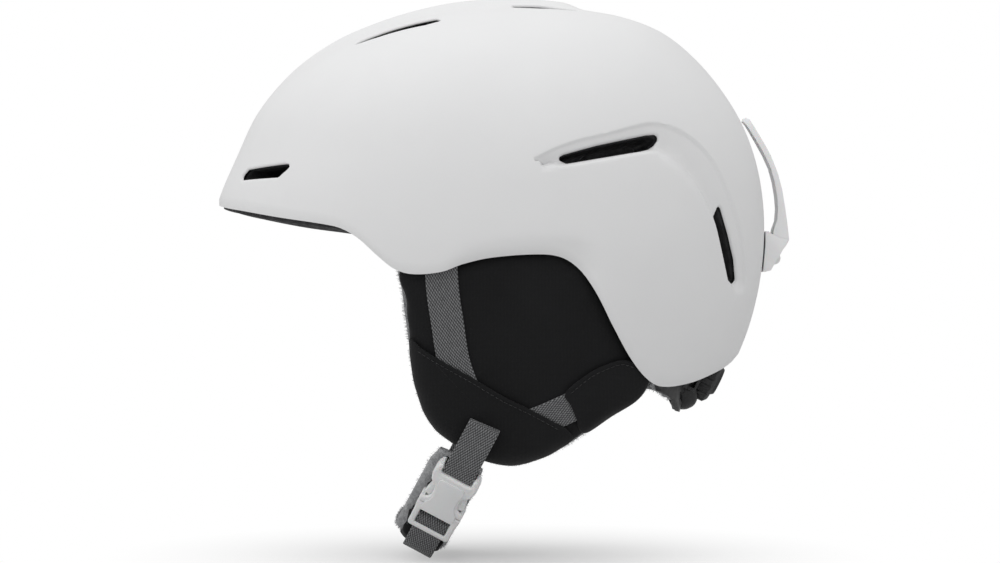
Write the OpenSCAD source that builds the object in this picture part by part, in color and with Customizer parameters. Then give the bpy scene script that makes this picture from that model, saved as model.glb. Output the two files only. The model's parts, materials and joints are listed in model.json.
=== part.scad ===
// Ski helmet: hard outer shell over a foam liner, with soft ear pads, a dial fit system,
// a buckled chin strap and a rear goggle strap clip.
//
// Frame: the wearer faces -Y, +X is the wearer's left, +Z is up. The origin lies in the
// plane of symmetry, midway along the shell and level with its brow edge.

/* [Shell] */
// Overall length of the outer shell
shell_length = 281; // [270:1:292]
// Thickness of the outer shell wall
shell_wall = 2.2; // [1.6:0.1:3]
// Height that the crown ridge stands above the shell
ridge_height = 2.5; // [0:0.5:4]

/* [Liner] */
// Foam thickness at the crown
foam_crown = 25; // [20:1:30]
// Foam thickness at the sides
foam_side = 20; // [16:1:22]
// Thickness of the comfort pads
pad_thickness = 7; // [5:0.5:8]

/* [Ear pads] */
// Thickness of the ear pad foam
ear_pad_thickness = 11; // [8:1:12]

/* [Straps] */
// Width of the webbing
web_width = 16; // [14:0.5:16]
// Thickness of the webbing
web_thickness = 1.4; // [1:0.1:1.6]
// Forward tilt of the hanging chin strap, in degrees
strap_tilt = 28; // [20:1:32]

/* [Fit system] */
// Radius of the fit dial
dial_radius = 13; // [12:0.5:14]
// Thickness of the fit bands
band_thickness = 1.6; // [1.2:0.1:1.8]

/* [Hidden] */
$fn = 48;

sides = [1, -1];

// ---- Shell surface -------------------------------------------------------------------

// The shell is drawn about this point, in polar angles: th runs round from the front (0)
// past the side (90) to the back (180), and ph runs down from the crown (0).
centre = [0, 15, 0];
size_k = shell_length / 281;
radius_step = 10;
front_radii = [105, 106.3, 109, 113, 119, 127, 136, 143.3, 148.2, 156.3, 163, 168, 172, 176, 180, 184];
side_radii = [105, 105.6, 107, 109, 111, 112.5, 113, 112.5, 111.5, 111, 112, 114, 118, 125, 136, 150];
rear_radii = [105, 105.2, 107, 112, 116.6, 118.8, 120.7, 123, 124.8, 126.4, 128.4, 131.3, 135, 139, 143, 148];
fullness = 0.25;

// Lower edge of the shell: height at each angle th
edge_line = [
    [0, 1], [20, -2.5], [35, -7.5], [46, -11.5], [49, -14], [52, -18.5], [55.5, -26], [59, -32.5],
    [63, -35.2], [70, -34.2], [75.5, -30.7], [82.5, -27.8], [95, -26.2], [101, -28], [106, -34.5],
    [110, -44.5], [115, -60], [121, -75.5], [127, -86], [133, -91], [143, -90], [155, -85],
    [168, -80], [180, -78],
];
// Height of the foam liner's edge above the shell's, at each angle th
foam_rise_line = [
    [0, -1.5], [46, -1.5], [56, 5], [63, 8], [95, 8.5], [105, 11], [112, 14], [121, 14],
    [127, 10], [133, 6.5], [143, 5], [150, 9], [158, 22], [168, 26], [180, 26],
];

function hermite(a, b, ma, mb, t) =
    a * (1 + 2 * t) * (1 - t) * (1 - t) + ma * t * (1 - t) * (1 - t)
    + b * t * t * (3 - 2 * t) - mb * t * t * (1 - t);

function smooth(t) = let(c = max(0, min(1, t))) c * c * (3 - 2 * c);

// A smooth curve through values set every `step` degrees
function even_curve(values, x, step) =
    let(n = len(values), i = max(0, min(n - 2, floor(x / step))), t = x / step - i,
        a = values[i], b = values[i + 1],
        ma = (b - (i > 0 ? values[i - 1] : b)) / (i > 0 ? 2 : 1),
        mb = ((i < n - 2 ? values[i + 2] : b) - a) / (i < n - 2 ? 2 : 1))
    hermite(a, b, ma, mb, t);

// The row of a table of [x, y] rows that x falls in
function row_of(table, x, i = 0) = i >= len(table) - 2 || x < table[i + 1][0] ? i : row_of(table, x, i + 1);

// A smooth curve through a table of [x, y] rows
function table_curve(table, x) =
    let(i = row_of(table, x), p = table[i], q = table[i + 1],
        o = i > 0 ? table[i - 1] : p, r = i < len(table) - 2 ? table[i + 2] : q,
        w = q[0] - p[0],
        mp = i > 0 ? (q[1] - o[1]) / (q[0] - o[0]) : 0,
        mq = i < len(table) - 2 ? (r[1] - p[1]) / (r[0] - p[0]) : 0)
    hermite(p[1], q[1], mp * w, mq * w, (x - p[0]) / w);

function shell_radius(th, ph) =
    let(low = min(ph, 150), ends = even_curve(cos(th) > 0 ? front_radii : rear_radii, low, radius_step),
        flank = even_curve(side_radii, low, radius_step),
        n = 2 + fullness * pow(sin(min(ph, 90)), 2),
        sum = pow(abs(cos(th)) / ends, n) + pow(abs(sin(th)) / flank, n))
    size_k * pow(sum, -1 / n);

function direction(th, ph) = [sin(ph) * sin(th), -sin(ph) * cos(th), cos(ph)];

// Height of the raised panel along the crown
function ridge(p) =
    ridge_height * (1 - smooth((abs(p[0]) - 20) / 14)) * smooth((p[1] + 120) / 50)
    * (1 - smooth((p[1] - 36) / 14));

// The point `depth` below the shell's outer surface
function skin_point(th, ph, depth) = centre + (shell_radius(th, ph) - depth) * direction(th, ph);

// The same, with the crown ridge
function outer_point(th, ph, depth) =
    let(p = skin_point(th, ph, 0)) centre + (shell_radius(th, ph) + ridge(p) - depth) * direction(th, ph);

// The polar angle at which the surface comes down to height z
function angle_at(th, z, low = 60, high = 150, tries = 14) =
    tries == 0 ? (low + high) / 2
    : let(mid = (low + high) / 2)
        skin_point(th, mid, 0)[2] > z ? angle_at(th, z, mid, high, tries - 1)
        : angle_at(th, z, low, mid, tries - 1);

function folded(th) = let(t = abs(th) % 360) t > 180 ? 360 - t : t;
function edge_height(th) = table_curve(edge_line, folded(th));
function foam_edge_height(th) = edge_height(th) + table_curve(foam_rise_line, folded(th));

function angle_of(v) = atan2(v[0], -v[1]);

// x of the surface where it is seen from the side at (y, z)
function side_x(y, z, low = 20, high = 125, tries = 16) =
    tries == 0 ? (low + high) / 2
    : let(x = (low + high) / 2, v = [x, y - centre[1], z], ph = atan2(norm([v[0], v[1]]), v[2]))
        norm(v) > shell_radius(angle_of(v), ph) ? side_x(y, z, low, x, tries - 1)
        : side_x(y, z, x, high, tries - 1);

// Two ways to lay a flat drawing on the surface: seen from the side, or by polar angles
on_side = function(p, depth) [side_x(p[0], p[1]) - depth, p[0], p[1]];
on_polar = function(p, depth) skin_point(p[0], p[1], depth);

// ---- Solids from grids of points -----------------------------------------------------

// Quads between two rings of n points that start at a and b, turned over if flip is set
function band_faces(a, b, n, flip = false) = [
    for (i = [0:n - 1])
        let(j = (i + 1) % n, q = [a + i, a + j, b + j, b + i])
        flip ? [q[3], q[2], q[1], q[0]] : q
];

// A closed shell between two domes, each a list of rings under an apex
module dome_solid(outer_apex, outer_rings, inner_apex, inner_rings) {
    n = len(outer_rings[0]);
    m = len(outer_rings);
    inner = 1 + n * m;
    points = concat([outer_apex], [for (r = outer_rings) for (p = r) p],
                    [inner_apex], [for (r = inner_rings) for (p = r) p]);
    faces = concat(
        [for (i = [0:n - 1]) [0, 1 + (i + 1) % n, 1 + i]],
        [for (k = [0:m - 2]) each band_faces(1 + k * n, 1 + (k + 1) * n, n)],
        band_faces(1 + (m - 1) * n, inner + 1 + (m - 1) * n, n),
        [for (k = [0:m - 2]) each band_faces(inner + 1 + k * n, inner + 1 + (k + 1) * n, n, true)],
        [for (i = [0:n - 1]) [inner, inner + 1 + i, inner + 1 + (i + 1) % n]]
    );
    polyhedron(points, faces);
}

// A loop of points round a closed outline, smooth through its corners
function loop_through(outline, per_span) =
    let(n = len(outline))
    [for (i = [0:n - 1]) for (k = [0:per_span - 1])
        let(o = outline[(i + n - 1) % n], p = outline[i], q = outline[(i + 1) % n], r = outline[(i + 2) % n])
        hermite(p, q, (q - o) / 2, (r - p) / 2, k / per_span)];

function middle(points) = [for (k = [0, 1])
    (max([for (p = points) p[k]]) + min([for (p = points) p[k]])) / 2];
function flat(p) = [p[0], p[1]];

// A pad laid on the surface over a flat outline: full in the middle, thinner at its edge
module pillow(outline, lay, depth, thickness, rings = 3, per_span = 2, edge = 0.35) {
    loop = loop_through(outline, per_span);
    c = middle(outline);
    shares = [for (k = [1:rings]) pow(k / rings, 0.6)];
    function swell(s) = edge + (1 - edge) * sqrt(max(0, 1 - pow(s, 6)));
    function face(sign) = [for (s = shares) [for (p = loop)
        lay(c + s * (p - c), depth + thickness / 2 - sign * swell(s) * thickness / 2)]];
    dome_solid(lay(c, depth), face(1), lay(c, depth + thickness), face(-1));
}

// A thin panel laid on the surface: the third number of each outline point is its depth there
module panel(outline, lay, c, depth, thickness, rings = 3, per_span = 2) {
    loop = loop_through(outline, per_span);
    shares = [for (k = [1:rings]) pow(k / rings, 0.6)];
    function face(below) = [for (s = shares) [for (p = loop)
        lay(c + s * (flat(p) - c), depth + (p[2] - depth) * pow(s, 8) + below)]];
    dome_solid(lay(c, depth), face(0), lay(c, depth + thickness), face(thickness));
}

function turned(list) = [for (i = [len(list) - 1:-1:0]) list[i]];
function unit(v) = v / norm(v);
function heading(path, i) =
    unit(flat(path[min(len(path) - 1, i + 1)]) - flat(path[max(0, i - 1)]));

// A strip of webbing along a path drawn on the surface, as [y, z, depth] points
module strip(path, lay, width, thickness) {
    tube_solid([for (i = [0:len(path) - 1])
        let(t = heading(path, i), s = [t[1], -t[0]] * width / 2, p = flat(path[i]), d = path[i][2])
        [lay(p - s, d), lay(p + s, d), lay(p + s, d + thickness), lay(p - s, d + thickness)]]);
}

// A closed solid through rings of equal length, with flat ends
module tube_solid(rings) {
    n = len(rings[0]);
    m = len(rings);
    polyhedron([for (r = rings) for (p = r) p], concat(
        [[for (i = [0:n - 1]) i]],
        [for (k = [0:m - 2]) each band_faces(k * n, (k + 1) * n, n, true)],
        [[for (i = [n - 1:-1:0]) (m - 1) * n + i]]
    ));
}

// The outline of a ribbon of thickness t along a flat path
function ribbon(path, t) = concat(
    [for (i = [0:len(path) - 1]) let(h = heading(path, i)) path[i] + [-h[1], h[0]] * t / 2],
    [for (i = [len(path) - 1:-1:0]) let(h = heading(path, i)) path[i] - [-h[1], h[0]] * t / 2]
);

function arc(c, r, from, to, n) = [for (i = [0:n])
    let(a = from + (to - from) * i / n) c + r * [cos(a), sin(a)]];

// Children set on the surface: their x runs along it, y up it and z out of it
module on_surface(lay, p, depth, turn = 0) {
    o = lay(p, depth);
    x = unit(lay(p + [0.5, 0], depth) - lay(p - [0.5, 0], depth));
    up = unit(lay(p + [0, 0.5], depth) - lay(p - [0, 0.5], depth));
    z = unit(cross(x, up));
    y = cross(z, x);
    multmatrix([
        [x[0], y[0], z[0], o[0]],
        [x[1], y[1], z[1], o[1]],
        [x[2], y[2], z[2], o[2]],
        [0, 0, 0, 1],
    ]) rotate([0, 0, turn]) children();
}

module right() { mirror([1, 0, 0]) children(); }

module both() {
    children();
    right() children();
}

// ---- Vents ---------------------------------------------------------------------------

// Outlines as [y, z] seen from the side, or [x, y] seen from above
upper_side_vent = [[32.5, 21], [37.5, 18.5], [77, 25.5], [81.5, 30], [80, 32.5], [52, 27.5], [36, 23]];
rear_side_vent = [
    [114, -1.5], [118, -15], [121, -28], [122, -38], [120.5, -40], [118.5, -37.5], [114, -16], [111.5, -7],
];
brow_vent = [[-19, 12.4], [-20, 14.5], [-16.5, 17.6], [13.5, 19.6], [17.5, 18.8], [11, 13]];
front_top_vent = [[46, -76], [46.5, -50], [48, -27], [53, -24.5], [54.5, -32], [51.5, -56]];
rear_top_vent = [[31, 12], [31, 26], [35.5, 47], [37.5, 44], [38, 24], [36, 11]];

module side_cut(outline, from, to) {
    hull() translate([from, 0, 0]) rotate([90, 0, 90]) linear_extrude(to - from) polygon(outline);
}

module top_cut(outline, from, to) {
    hull() translate([0, 0, from]) linear_extrude(to - from) polygon(outline);
}

// The brow vent points out and forward: its outline is [across, z]
module brow_cut() {
    hull() rotate([0, 0, 24]) translate([14, -70, 0]) rotate([90, 0, 0])
        linear_extrude(80) polygon(brow_vent);
}

module vent_cuts() {
    both() side_cut(upper_side_vent, 60, 125);
    both() side_cut(rear_side_vent, 34, 100);
    both() brow_cut();
    both() top_cut(front_top_vent, 40, 120);
    both() top_cut(rear_top_vent, 60, 120);
}

// ---- Shell and liner -----------------------------------------------------------------

shell_columns = 72;
foam_columns = 60;

function dome_rings(columns, rows, edge, depth, point) = [
    for (k = [1:rows]) [
        for (i = [0:columns - 1])
            let(th = 360 * i / columns, ph = angle_at(folded(th), edge(th)) * k / rows)
            point(th, ph, depth(folded(th), ph))
    ]
];

// Foam thickness: full at the crown and ends, less at the sides and thin low at the back
function foam_thickness(th, ph) =
    let(flank = pow(sin(th), 2) * smooth(ph / 70), taper = smooth((ph - 104) / 18) * smooth((th - 112) / 16))
    (foam_crown * (1 - flank) + foam_side * flank) * (1 - 0.52 * taper);

foam_gap = 0.6;
foam_top = shell_wall + foam_gap;

module outer_shell() {
    color("whitesmoke") difference() {
        dome_solid(
            outer_point(0, 0, 0),
            dome_rings(shell_columns, 17, function(th) edge_height(th), function(th, ph) 0,
                       function(th, ph, d) outer_point(th, ph, d)),
            outer_point(0, 0, shell_wall),
            dome_rings(shell_columns, 17, function(th) edge_height(th), function(th, ph) shell_wall,
                       function(th, ph, d) outer_point(th, ph, d))
        );
        vent_cuts();
        clip_screw_hole(1.75);
    }
}

module foam_liner() {
    color("dimgray") difference() {
        dome_solid(
            skin_point(0, 0, foam_top),
            dome_rings(foam_columns, 12, function(th) foam_edge_height(th), function(th, ph) foam_top,
                       function(th, ph, d) skin_point(th, ph, d)),
            skin_point(0, 0, foam_top + foam_crown),
            dome_rings(foam_columns, 12, function(th) foam_edge_height(th),
                       function(th, ph) foam_top + foam_thickness(th, ph),
                       function(th, ph, d) skin_point(th, ph, d))
        );
        vent_cuts();
        clip_screw_hole(1.9);
        translate([-5.5, 134.4, clip_screw_z - 5.5]) cube([11, 8, 11]);
        both() anchor_sites() anchor_pocket();
        both() tab_sites() tab_body(0.3);
        guide_screw_sites() cylinder(h = 16, r = 1.3);
    }
}

on_foam = function(p, depth) let(th = folded(p[0]))
    skin_point(p[0], p[1], foam_top + foam_thickness(th, p[1]) + depth);

// z of the foam's inner surface, `depth` in, where it is seen from above at (x, y)
function top_z(x, y, depth, z = 80, tries = 7) =
    tries == 0 ? z
    : let(v = [x, y - centre[1], z], th = folded(angle_of(v)), ph = atan2(norm([v[0], v[1]]), v[2]),
          r = shell_radius(th, ph) - foam_top - foam_thickness(th, ph) - depth)
        top_z(x, y, depth, sqrt(max(1, r * r - v[0] * v[0] - v[1] * v[1])), tries - 1);
on_top = function(p, depth) [p[0], p[1], top_z(p[0], p[1], depth)];

// ---- Comfort pads --------------------------------------------------------------------

// Outlines as [angle round, angle down], or [x, y] seen from above
brow_pad_outline = [
    [-56, 80], [-44, 76.5], [-20, 75], [0, 75.5], [20, 75], [44, 76.5], [56, 80],
    [57, 86.5], [48, 90], [22, 87.5], [0, 86.5], [-22, 87.5], [-48, 90], [-57, 86.5],
];
side_pad_outline = [[66, 60], [90, 58], [113, 60], [117, 66], [112, 74], [90, 78], [68, 75], [62, 68]];
crown_pad_outline = [
    [0, -46], [15, -43], [19, -32], [16, -10], [30, 6], [37, 20], [31, 33], [14, 42], [8, 60], [0, 66],
    [-8, 60], [-14, 42], [-31, 33], [-37, 20], [-30, 6], [-16, -10], [-19, -32], [-15, -43],
];
pad_lift = 2.2;

module brow_pad() {
    color("dimgray") pillow(turned(brow_pad_outline), on_foam, pad_lift, pad_thickness);
}

module crown_pad() {
    color("dimgray") pillow(crown_pad_outline, on_top, pad_lift, pad_thickness);
}

module side_pad_left() {
    color("dimgray") pillow(turned(side_pad_outline), on_foam, pad_lift, pad_thickness);
}

module side_pad_right() { right() side_pad_left(); }

module hook_disc() { cylinder(h = 0.5, r = 7); }

// The discs that hold the comfort pads to the liner
module pad_hook_discs() {
    color("black") {
        for (th = [-38, 0, 38]) on_surface(on_foam, [th, 82], 1.5) hook_disc();
        for (p = [[0, -28], [0, 20], [0, 50]]) on_surface(on_top, p, 1.5) hook_disc();
        both() on_surface(on_foam, [76, 67], 1.5) hook_disc();
        both() on_surface(on_foam, [103, 67], 1.5) hook_disc();
    }
}

// ---- Ear pads and their webbing ------------------------------------------------------

// Outlines as [y, z] seen from the side; a third number is the depth of the edge
ear_outline = [
    [-44.6, -31.5], [-43, -45], [-40.3, -67.3], [-37.8, -84.9], [-34.8, -96.6], [-31.9, -104.4],
    [-26.5, -112.2], [-19.2, -118], [-9.4, -124.2], [0.3, -128.5], [12.5, -130.2], [26.2, -126.2],
    [35, -121.8], [41.8, -118.2], [49, -113.2], [60.4, -105.5], [72.6, -97.8], [79, -90.4],
    [79.6, -85], [75.3, -79.6], [71.2, -74], [67.3, -66.8], [62.9, -58.6], [58.3, -49.2], [55, -43.1],
    [49, -33.5], [43, -26.8], [35, -22.8], [24.6, -21.5], [5, -22.5], [-13, -26.3], [-33, -30.3],
];
lining_outline = [
    [-38, -36], [-36, -66], [-33, -88], [-28, -104], [-18, -113.5], [0, -121.5], [13, -123], [26, -119.5],
    [44, -110], [60, -99], [72, -90.5], [69, -80], [62, -66], [53, -46], [44, -31.5], [30, -26.5], [8, -27],
    [-16, -31],
];
front_sleeve_outline = [
    [-39.2, -66.8, 7], [-34, -70.5, 3], [-27, -75.1, 2.7], [-17, -80.8, 2.7], [-8, -85.8, 2.7],
    [7.2, -95, 2.7], [19.8, -101.2, 2.7], [31, -107.2, 2.7], [37.4, -110.8, 3], [41.2, -116.2, 4.2],
    [34, -122, 8], [26.2, -126.1, 8], [12.5, -130.1, 8], [0.3, -128.4, 8], [-9.4, -124.1, 8],
    [-19.2, -117.9, 8], [-26.5, -112.1, 8], [-31.9, -104.3, 8], [-34.8, -96.5, 8], [-37.8, -84.8, 8],
];
rear_sleeve_outline = [
    [37.2, -93, 2.8], [40, -99.5, 2.8], [42.8, -106.2, 2.9], [44.6, -112, 6], [49, -113.1, 8],
    [60.4, -105.4, 7], [72.6, -97.7, 4], [78.2, -90, 3.1], [77.5, -84, 2.8], [72, -79, 2.8],
    [65.3, -77, 2.8], [57, -79.3, 2.8], [48.4, -83.6, 2.8],
];
sleeve_thickness = 1.3;
// The webbing runs under the sleeves, then in behind the edge of the shell
front_web_path = [
    [-23.4, -20.5, 6.2], [-23.4, -27, 5.5], [-23.3, -33, 4.7], [-22.4, -45, 4.3], [-20.2, -60, 4.3],
    [-17.8, -76, 4.3], [-14, -88, 4.3], [-9, -98, 4.3], [-6, -103.2, 4.3],
];
rear_web_path = [
    [82.8, -80.4, 8.9], [79, -82.3, 7], [74, -84.7, 5.3], [62, -90, 4.4], [50, -95.6, 4.3],
    [36, -102.1, 4.3], [24, -107.6, 4.3], [14, -111, 4.3],
];

// Depth of the pad's outer face below the line of the shell's surface
ear_pad_depth = 6;

module ear_pad_foam_left() {
    color("dimgray") pillow(ear_outline, on_side, ear_pad_depth, ear_pad_thickness, per_span = 1);
}

module ear_pad_foam_right() { right() ear_pad_foam_left(); }

module ear_pad_lining_left() {
    edged = [for (p = lining_outline) [p[0], p[1], ear_pad_depth + ear_pad_thickness + 0.1]];
    color("gray") panel(edged, on_side, [10, -78], ear_pad_depth + ear_pad_thickness + 0.9, 3);
}

module ear_pad_lining_right() { right() ear_pad_lining_left(); }

module ear_pad_front_sleeve_left() {
    color("black") panel(turned(front_sleeve_outline), on_side, [0, -107], 2.3, sleeve_thickness);
}

module ear_pad_front_sleeve_right() { right() ear_pad_front_sleeve_left(); }

module ear_pad_rear_sleeve_left() {
    color("black") panel(rear_sleeve_outline, on_side, [58, -92], 2.5, sleeve_thickness);
}

module ear_pad_rear_sleeve_right() { right() ear_pad_rear_sleeve_left(); }

// The plastic tongues on the pad's upper edge that push into slots in the liner
tab_places = [[4, -22, 0], [22, -21.2, 0], [40, -24.2, -20]];
module tab_sites() {
    for (t = tab_places) on_surface(on_side, [t[0], t[1]], 12, t[2]) children();
}

module tab_body(grow) {
    translate([-6 - grow, 0.4, -0.9 - grow]) cube([12 + 2 * grow, 10 + grow, 1.8 + 2 * grow]);
}

module ear_pad_tabs_left() {
    color("black") tab_sites() tab_body(0);
}

module ear_pad_tabs_right() { right() ear_pad_tabs_left(); }

module front_webbing_left() {
    color("dimgray") strip(front_web_path, on_side, web_width, web_thickness);
}

module front_webbing_right() { right() front_webbing_left(); }

module rear_webbing_left() {
    color("dimgray") strip(rear_web_path, on_side, web_width, web_thickness);
}

module rear_webbing_right() { right() rear_webbing_left(); }

// The plugs set in the liner's edge that hold the upper ends of the webbing
module anchor_sites() {
    on_surface(on_side, [-23.4, -20.5], 6.9, 0) children();
    on_surface(on_side, [84.2, -79.7], 10, -64) children();
}

module anchor_body() {
    translate([-11, -4, -3.8]) cube([22, 14, 7.2]);
}

module anchor_pocket() {
    translate([-11.4, -9, -4.2]) cube([22.8, 19.4, 12]);
}

module strap_anchor() {
    difference() {
        anchor_body();
        translate([-half_web - 2, -5, -2.7]) cube([web_width + 4, 6.5, 5.2]);
        for (x = [-6, 6]) translate([x, 6.5, -5]) cylinder(h = 10, r = 1.6);
    }
}

module strap_anchors() {
    color("black") both() anchor_sites() strap_anchor();
}

// ---- Chin strap ----------------------------------------------------------------------

// The loop of webbing under the chin is drawn flat: x across the head and y down the loop,
// with the width of the webbing along z. It hangs from the slots in the ear pad sleeves.
exit_y = -2.5;
exit_z = -109.8;
module loop_frame() {
    translate([0, exit_y, exit_z]) rotate([-90 - strap_tilt, 0, 0]) children();
}

exit_x = side_x(exit_y, exit_z) + 1.9;
upper_lean = 17;
buckle_lean = 38;
upper_run = 20;
upper_bend = 14;
buckle_run = 44.5;
lower_bend = 30;
function lean_dir(a) = [-sin(a), cos(a)];
bend_start = [exit_x, 1] + upper_run * lean_dir(upper_lean);
buckle_top = bend_start
    + upper_bend * [cos(buckle_lean) - cos(upper_lean), sin(buckle_lean) - sin(upper_lean)];
buckle_end = buckle_top + buckle_run * lean_dir(buckle_lean);
loop_bottom = buckle_end + lower_bend * [-cos(buckle_lean), 1 - sin(buckle_lean)];

// Centreline of the loop pushed out by `off`, one piece at a time
function upper_line(off) = [for (k = [0:3])
    [exit_x, 1] + k / 4 * upper_run * lean_dir(upper_lean) + off * [cos(upper_lean), sin(upper_lean)]];
function upper_arc(off) = arc(bend_start - upper_bend * [cos(upper_lean), sin(upper_lean)],
                              upper_bend + off, upper_lean, buckle_lean, 3);
function lower_arc(off) = arc(buckle_end - lower_bend * [cos(buckle_lean), sin(buckle_lean)],
                              lower_bend + off, buckle_lean, 90, 9);

// Buckle frame: x out of the loop, y down along the buckle, z across its width
module buckle_frame() {
    loop_frame() translate([buckle_top[0], buckle_top[1], 0]) rotate([0, 0, buckle_lean]) children();
}
function in_loop(p) = buckle_top + p[1] * lean_dir(buckle_lean) + p[0] * [cos(buckle_lean), sin(buckle_lean)];

t = web_thickness;
half_web = web_width / 2;
bar_y = 3;
bar_r = 1.2;
wrap_r = bar_r + 0.1 + t / 2;
lock_y = 38;
lock_r = 1.3;
lock_wrap = lock_r + 0.1 + t / 2;
// Inner face of the bar that the free tail passes behind
front_bar_x = 2.95;

// Left webbing: down to the bar of the socket, round it and back up on the outside
left_web_path = concat(
    upper_line(-0.8), upper_arc(-0.8),
    [for (p = [[-wrap_r * 0.8, 1], [-wrap_r, 2]]) in_loop(p)],
    [for (a = [180:-22.5:0]) in_loop([wrap_r * cos(a), bar_y + wrap_r * sin(a)])],
    [for (p = [[wrap_r, 2], [wrap_r * 0.8, 1]]) in_loop(p)],
    [for (k = [3:-1:0]) upper_arc(0.8)[k]], [for (k = [3:-1:2]) upper_line(0.8)[k]]
);

module chin_webbing_left() {
    color("dimgray") loop_frame() translate([0, 0, -half_web]) linear_extrude(web_width)
        polygon(ribbon(left_web_path, t));
}

// Right webbing: under the chin, up to the bar of the plug, round it and down as a free tail
right_web_path = concat(
    [for (p = upper_line(0)) [-p[0], p[1]]], [for (p = upper_arc(0)) [-p[0], p[1]]],
    [for (p = [in_loop([0, 12]), in_loop([0, 24])]) [-p[0], p[1]]],
    [for (i = [0:9]) let(p = lower_arc(-lock_wrap * i / 9)[i]) [-p[0], p[1]]],
    [for (i = [9:-1:1]) lower_arc(-lock_wrap)[i]],
    [in_loop([-lock_wrap, buckle_run]), in_loop([-lock_wrap, 41.5])],
    [for (a = [180:22.5:360]) in_loop([lock_wrap * cos(a), lock_y + lock_wrap * sin(a)])],
    [in_loop([lock_wrap, 42]), in_loop([lock_wrap, 45]), in_loop([lock_wrap + 0.4, 52]),
     in_loop([lock_wrap - 0.2, 57]), in_loop([lock_wrap - 2.4, 61.5])]
);

module chin_webbing_right() {
    color("dimgray") loop_frame() translate([0, 0, -half_web]) linear_extrude(web_width)
        polygon(ribbon(right_web_path, t));
}

// Chin pad: a cushion behind the buckle and under the chin, with a sleeve round the webbing.
// It stands forward of the buckle, so that its front edge shows beside it.
chin_pad_width = 28;
chin_pad_from = -16.5;
function pad_line(off, last) = concat(
    [in_loop([off, 1]), in_loop([off, 20]), in_loop([off, buckle_run])],
    [for (i = [1:9]) lower_arc(off)[i]], [for (x = [0, last]) [x, loop_bottom[1] + off]]
);
// The sleeve keeps the webbing on the cushion: it follows the webbing, which runs on through it
sleeve_line = [each [for (i = [4:9]) lower_arc(-lock_wrap)[i]],
               [0, loop_bottom[1] - lock_wrap], [-28, loop_bottom[1] - lock_wrap]];
through_line = [lower_arc(-lock_wrap)[3], each sleeve_line, [-40, loop_bottom[1] - lock_wrap]];

module chin_pad_cover() {
    color("black") loop_frame() difference() {
        union() {
            translate([0, 0, chin_pad_from]) linear_extrude(chin_pad_width)
                polygon(ribbon(pad_line(-6.2, -30), 3));
            translate([0, 0, -10]) linear_extrude(20) polygon(ribbon(sleeve_line, 5.6));
        }
        translate([0, 0, -half_web - 0.6]) linear_extrude(web_width + 1.2)
            polygon(ribbon(through_line, t + 0.8));
    }
}

module chin_pad_fleece() {
    color("gray") loop_frame() translate([0, 0, chin_pad_from]) linear_extrude(chin_pad_width)
        polygon(ribbon(pad_line(-9.1, -30), 2.6));
}

// ---- Buckle --------------------------------------------------------------------------

buckle_width = web_width + 8;
buckle_half = buckle_width / 2;
socket_end = 27;
window_from = 11.5;
window_to = 22;
inside_half = buckle_half - 2.1;
latch_root_y = 30;
latch_root_z = inside_half - 2.6;

module rounded_slab(x, y0, y1, z, r) {
    translate([-x, 0, 0]) rotate([90, 0, 90]) linear_extrude(2 * x)
        hull() for (v = [y0 + r, y1 - r]) for (w = [-z + r, z - r]) translate([v, w]) circle(r);
}

// A round bar across the buckle, for the webbing to turn on
module cross_bar(y, r) {
    translate([0, y, -half_web - 1]) cylinder(h = web_width + 2, r = r);
}

module buckle_socket() {
    color("lightgray") buckle_frame() {
        difference() {
            rounded_slab(4, -1, socket_end, buckle_half, 2);
            translate([-5, -2, -half_web - 0.5]) cube([10, 9.6, web_width + 1]);
            translate([-2.5, 9.2, -inside_half]) cube([5, socket_end, 2 * inside_half]);
            for (s = sides) translate([-5, window_from, s * (buckle_half + 1) - 3.4])
                cube([10, window_to - window_from, 6.8]);
        }
        cross_bar(bar_y, bar_r);
    }
}

module buckle_plug() {
    color("lightgray") buckle_frame() {
        difference() {
            union() {
                rounded_slab(3.9, socket_end + 0.3, buckle_run, buckle_half, 2.5);
                rounded_slab(2.1, 12, socket_end + 1, 2.6, 1.2);
            }
            translate([-5, 33.2, -half_web - 0.5]) cube([10, 8.8, web_width + 1]);
            translate([-4.85, 34, -half_web - 0.5]) cube([3.6, 12, web_width + 1]);
            translate([1.25, 34, -half_web - 0.5]) cube([front_bar_x - 1.25, 12, web_width + 1]);
            translate([1.25, 34, -half_web - 0.5]) cube([3.6, 8, web_width + 1]);
            for (s = sides) translate([-2.4, socket_end - 1, s * latch_root_z - 2]) cube([4.8, 3, 4]);
            for (s = sides) translate([-2.4, latch_root_y, s * latch_root_z]) rotate([0, 90, 0])
                cylinder(h = 4.8, r = 1.66);
        }
        cross_bar(lock_y, lock_r);
    }
}

// One sprung arm of the plug: its root turns in the plug and its thumb pad shows at the side
module buckle_latch(s) {
    color("lightgray") buckle_frame() {
        translate([-2.2, latch_root_y, s * latch_root_z]) rotate([0, 90, 0]) cylinder(h = 4.4, r = 1.6);
        translate([-2.2, 13, s * (latch_root_z + 0.1) - 0.9]) cube([4.4, latch_root_y - 13.4, 1.8]);
        translate([-2.2, 13, min(s * (inside_half - 0.15), s * (latch_root_z - 0.5))])
            cube([4.4, 8, inside_half - 0.15 - latch_root_z + 0.5]);
    }
}

module buckle_latch_front() { buckle_latch(-1); }
module buckle_latch_rear() { buckle_latch(1); }

// ---- Goggle strap clip ---------------------------------------------------------------

clip_screw_z = -17.5;
clip_pin = [147, -26.5];
module side_profile(x0, x1, points) {
    translate([x0, 0, 0]) rotate([90, 0, 90]) linear_extrude(x1 - x0) polygon(points);
}

module clip_pin_cylinder(x0, x1, r) {
    translate([x0, clip_pin[0], clip_pin[1]]) rotate([0, 90, 0]) cylinder(h = x1 - x0, r = r);
}

module clip_screw_hole(r) {
    translate([0, 150, clip_screw_z]) rotate([90, 0, 0]) cylinder(h = 19, r = r);
}

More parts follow.
